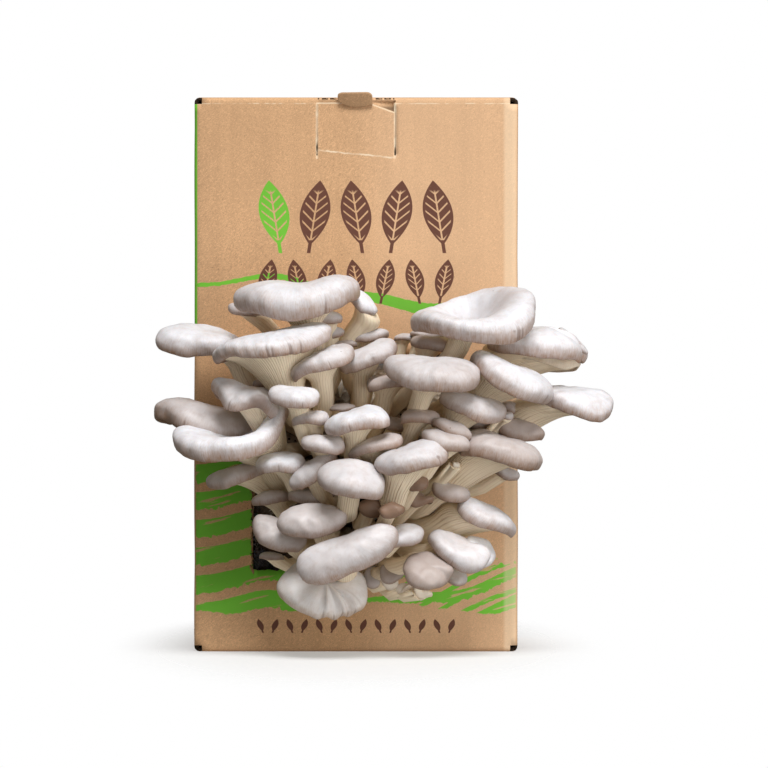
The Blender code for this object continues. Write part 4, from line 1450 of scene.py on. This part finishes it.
def grow(name, plan, seed, crop, look, drums, nodes=()):
    """One mushroom: a drum whose rings are moved onto its form, with relief and growth marks."""
    form = Form(plan, seed)
    detail = Detail(plan, crop, seed)
    angle = detail.pace()
    grid = np.array([form.ring(station, angle) for station in detail.stations])
    splits = detail.split_relief()
    relief = detail.gill_relief() + detail.lump_relief(grid) - splits * 0.007 * plan.width
    grid = grid + outward(grid) * relief[:, :, None]
    grid[0] = grid[0].mean(axis=0)
    grid[-1] = np.array(form.foot + Vector((0, 1.5, 0)))
    mesh = drum(detail.sides, len(detail.stations), drums)
    mesh.name = name
    row, column = rows_and_columns(mesh, detail.sides)
    mesh.vertices.foreach_set("co", (grid[row, column] * MM).ravel())
    ring = (row > 0) & (row < len(detail.stations) - 1)
    turned = angle[column]
    store(mesh, "growth", np.cos(turned) * ring, np.sin(turned) * ring, detail.stations[row])
    tone, gills = np.full(len(row), plan.tone), np.full(len(row), detail.gills)
    store(mesh, "marks", tone, np.maximum(splits, detail.scar_strength())[row, column], gills)
    return set_up(name, mesh, [look], nodes)


def store(mesh, name, *values):
    """Keeps three numbers for each vertex under a name that materials read."""
    kept = mesh.attributes.new(name, "FLOAT_VECTOR", "POINT")
    kept.data.foreach_set("vector", np.stack(values, axis=1).astype(np.float32).ravel())


def flesh_look(crop):
    """Satin cap skin with fibrils towards its rim, darker there partly as painted shade, cream gills with
    painted shade between them and a fibrous stem.
    """
    constants = {
        "Subsurface Weight": 0.1,
        "Subsurface Radius": (1.0, 0.62, 0.42),
        "Subsurface Scale": 0.002,
        "Specular IOR Level": 0.5,
    }
    look = Look("oyster_flesh", constants)
    place = look.place()
    c, s, station = look.split(look.attribute("growth"))
    tone, mark, gills = look.split(look.attribute("marks"))
    cap = station.rise(1.04, 0.97)
    cap_colour, fibrils = skin_colour(look, crop, place, c, s, station, gills, tone)
    under_colour, ridges = gill_colour(look, crop, place, c, s, station, gills, tone)
    specks = look.cells(place, 210.0).rise(0.075, 0.045) * look.noise(place, 70.0).rise(0.6, 0.68)
    # Scars, and on one cap a painted shadow inside its hollow
    scar_and_shadow = mark.rise(0.15, 0.8) * 0.7
    layers = ((cap, cap_colour), (scar_and_shadow, SCAR_AND_SHADOW), (specks * 0.75, SPECK))
    look.surface("Base Color", look.layered(under_colour, *layers))
    look.surface("Roughness", 0.62 - cap * 0.22 + fibrils * 0.08)
    fine = look.noise(place, 700.0, 3.0, 0.6)
    bumps = look.relief(fibrils * cap * station + ridges * (1 - cap) * 1.2, 0.00022)
    look.surface("Normal", look.relief(fine, 0.00005, bumps))
    return look


def skin_colour(look, crop, place, c, s, station, gills, tone):
    """Colour of the cap's skin by its tone, with fibrils, darker and browner towards the rim: partly the
    skin's own margin and partly painted shade where the rim rolls under; c and s are the angle's cosine
    and sine.
    """
    own = tone * 31 + gills * 1.7
    rays = look.join(c * 18, s * 18, station * 2.2 + own)
    fine_rays = look.join(c * 80, s * 80, station * 9 + own)
    streaks = look.noise(rays, 2.2, 4.0, 0.62)
    hairs = look.noise(fine_rays, 1.6, 3.0, 0.6)
    fibrils = streaks * 0.45 + hairs * 0.55
    cloud = look.noise(place, 75.0, 3.0, 0.55)
    mottle = look.noise(place, 330.0, 3.0, 0.6)
    towards_rim = station.rise(0.25, 0.82)
    lip = station.rise(0.6, 0.92)
    creamy = tone * -1
    brownest = (tone.rise(0.7, 1.0) * 0.8, shade(crop.margin, 0.65))
    pale = look.layered(crop.skin, (tone, crop.brown), brownest, (creamy, crop.gill))
    browner = (tone, shade(crop.margin, 0.6))
    dark = look.layered(crop.margin, browner, (creamy, shade(crop.gill, 0.75)))
    hairy = fibrils.rise(0.36, 0.68) * (towards_rim * 0.22 + 0.1) - towards_rim * 0.02
    blotchy = cloud.rise(0.4, 0.8) * 0.18 + mottle.rise(0.42, 0.7) * 0.13
    # Towards the rim and over the lip: the skin's own browner margin and painted shade where the rim rolls
    # under
    colour = look.mix(hairy + blotchy + towards_rim * 0.16 + lip * 0.56, pale, dark)
    # A dark line at the lip's edge: the margin's own colour and painted shade
    edge = station.between(0.9, 0.985, 0.03) * (0.3 + fibrils * 0.3)
    return look.mix(edge, colour, shade(crop.margin, 0.45)), fibrils


def gill_colour(look, crop, place, c, s, station, gills, tone):
    """Colour of the gills and the stem, with painted shade in the valleys between the gills and, with the
    stem's own browning, towards its foot; and the height of their ridges.
    """
    turn = s.angle_to(c) / math.tau
    strong = look.noise(look.join(c * 12, s * 12, station * 1.2 + gills), 1.6, 2.0).rise(0.34, 0.66)
    strong = strong * gills.rise(6.0, 76.0) * (look.noise(place, 28.0, 1.0).rise(0.36, 0.56) * 0.75 + 0.25)
    main = abs((turn * gills) % 1 - 0.5) * 2
    short = abs((turn * gills * 2) % 1 - 0.5) * 2
    near_rim = station.rise(1.62, 1.3)
    merged = abs((turn * gills / 2) % 1 - 0.5) * 2
    down = station.rise(1.5, 1.9)
    fade = station.rise(2.5, 1.9) * (station.rise(1.0, 1.7) * 0.5 + 0.4)
    # Painted shade: dark lines in the valleys between the gills
    valley_shade = main.rise(0.5, 1.0).most(short.rise(0.5, 1.0) * near_rim * 0.7)
    valley_shade = (valley_shade * (1 - down) + merged.rise(0.5, 1.0) * down) * fade * (strong + 0.2)
    fibres = look.noise(look.join(c * 14, s * 14, station * 2.2), 1.6, 3.0, 0.6)
    stem = station.rise(1.9, 2.4)
    colour = look.layered(
        crop.gill,
        (fibres.rise(0.35, 0.75) * 0.45 * (0.4 + stem), shade(crop.gill, 0.72)),
        (tone * 0.25, shade(crop.gill_line, 0.8)),
        # Darker towards the stem's foot: partly stain from the block and partly painted shade deep among
        # the stems
        (station.rise(2.2, 3.0) * 0.45, shade(crop.gill_line, 0.5)),
        (valley_shade * 0.8, crop.gill_line),
    )
    return colour, 1 - valley_shade + fibres * stem * 0.6


def add_light(name, kind, power, place, aim, size):
    """A sun, with its size as an angle, or a square area light."""
    light = bpy.data.lights.new(name, kind)
    light.energy = power
    if kind == "SUN":
        light.angle = size
    else:
        light.size = size
    made = add_object(name, light)
    made.location = place
    made.rotation_euler = (Vector(aim) - Vector(place)).to_track_quat("-Z", "Y").to_euler()


def make_floor(stage):
    """A pale floor that fades into the white round it."""
    look = Look("pale_floor", {"Roughness": 0.7, "Specular IOR Level": 0.2})
    x, y, _ = look.split(look.place())
    look.surface("Base Color", opaque(stage.floor))
    look.surface("Alpha", (x * x * 6.0 + y * y).rise(0.07, 0.008) * 0.7)
    bm = bmesh.new()
    bmesh.ops.create_grid(bm, x_segments=4, y_segments=4, size=FLOOR_REACH)
    mesh = as_mesh("floor", bm)
    mesh.materials.append(look.material)
    floor = add_object("floor", mesh)


def make_sky(stage):
    """Soft light from all round; the camera itself sees pure white."""
    world = bpy.context.scene.world or bpy.data.worlds.new("studio")
    bpy.context.scene.world = world
    world.use_nodes = True
    tree = world.node_tree
    seen = tree.nodes.new("ShaderNodeLightPath").outputs["Is Camera Ray"]
    tint = tree.nodes.new("ShaderNodeMix")
    tint.data_type = "RGBA"
    tint.inputs[6].default_value = opaque(shade(SKY_TINT, stage.sky))
    tint.inputs[7].default_value = (1.0, 1.0, 1.0, 1.0)
    tree.links.new(seen, tint.inputs[0])
    tree.links.new(tint.outputs[2], tree.nodes["Background"].inputs["Color"])


def make_camera():
    """A long lens straight ahead of the carton, at half its height."""
    data = bpy.data.cameras.new("camera")
    data.sensor_width = SENSOR_WIDTH
    data.lens = SENSOR_WIDTH * EYE_DISTANCE / VIEW_WIDTH
    data.clip_start = 0.1
    camera = add_object("camera", data)
    camera.location = EYE * MM
    camera.rotation_euler = (math.radians(90), 0, 0)
    bpy.context.scene.camera = camera


class GROWKIT_OT_carton(bpy.types.Operator):
    """Make the printed carton and its tongue"""

    bl_idname = "growkit.carton"
    bl_label = "Carton"

    def execute(self, context):
        make_carton_board(context.scene.grow_kit_carton)
        make_tongue(context.scene.grow_kit_carton)
        return {"FINISHED"}


class GROWKIT_OT_filling(bpy.types.Operator):
    """Make the crumpled bag and the block of substrate in it"""

    bl_idname = "growkit.filling"
    bl_label = "Bag and block"

    def execute(self, context):
        make_bag(context.scene.grow_kit_carton)
        make_scrap()
        make_substrate(context.scene.grow_kit_carton)
        return {"FINISHED"}


class GROWKIT_OT_crop(bpy.types.Operator):
    """Grow the mushrooms and the small sprouts between them"""

    bl_idname = "growkit.crop"
    bl_label = "Crop"

    def execute(self, context):
        crop = context.scene.grow_kit_crop
        look = flesh_look(crop)
        drums = {}
        for number, plan in enumerate(MUSHROOMS, 1):
            node = f"mushroom_{number:02d}"
            grow(f"oyster_{number:02d}", plan, number, crop, look, drums, [node])
        for number, plan in enumerate(SPROUTS, 1):
            grow(f"sprout_{number:02d}", plan, 100 + number, crop, look, drums)
        return {"FINISHED"}


class GROWKIT_OT_stage(bpy.types.Operator):
    """Set the floor, the lights and the camera"""

    bl_idname = "growkit.stage"
    bl_label = "Stage"

    def execute(self, context):
        stage = context.scene.grow_kit_stage
        make_floor(stage)
        make_sky(stage)
        add_light("key", "SUN", stage.key, KEY_PLACE, AIM, KEY_ANGLE)
        add_light("fill", "AREA", stage.fill, FILL_PLACE, AIM, FILL_SIZE)
        make_camera()
        context.scene.view_settings.view_transform = "Standard"
        return {"FINISHED"}


class GROWKIT_PT_panel(bpy.types.Panel):
    """Settings and operators of the grow kit"""

    bl_label = "Grow Kit"
    bl_space_type = "VIEW_3D"
    bl_region_type = "UI"
    bl_category = "Grow Kit"

    def draw(self, context):
        scene = context.scene
        for group in (scene.grow_kit_carton, scene.grow_kit_crop, scene.grow_kit_stage):
            box = self.layout.box()
            for name in group.__annotations__:
                box.prop(group, name)
        for operator in OPERATORS:
            self.layout.operator(operator.bl_idname)


OPERATORS = (GROWKIT_OT_carton, GROWKIT_OT_filling, GROWKIT_OT_crop, GROWKIT_OT_stage)
SETTINGS = {
    "grow_kit_carton": CartonSettings,
    "grow_kit_crop": CropSettings,
    "grow_kit_stage": StageSettings,
}


def register():
    for name, group in SETTINGS.items():
        bpy.utils.register_class(group)
        setattr(bpy.types.Scene, name, bpy.props.PointerProperty(type=group))
    for made in (*OPERATORS, GROWKIT_PT_panel):
        bpy.utils.register_class(made)


def unregister():
    for made in reversed((*OPERATORS, GROWKIT_PT_panel)):
        bpy.utils.unregister_class(made)
    for name, group in SETTINGS.items():
        delattr(bpy.types.Scene, name)
        bpy.utils.unregister_class(group)


def write_sizes():
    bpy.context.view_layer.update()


def main():
    register()
    bpy.ops.growkit.carton()
    bpy.ops.growkit.filling()
    bpy.ops.growkit.crop()
    bpy.ops.growkit.stage()
    write_sizes()


if __name__ == "__main__":
    main()
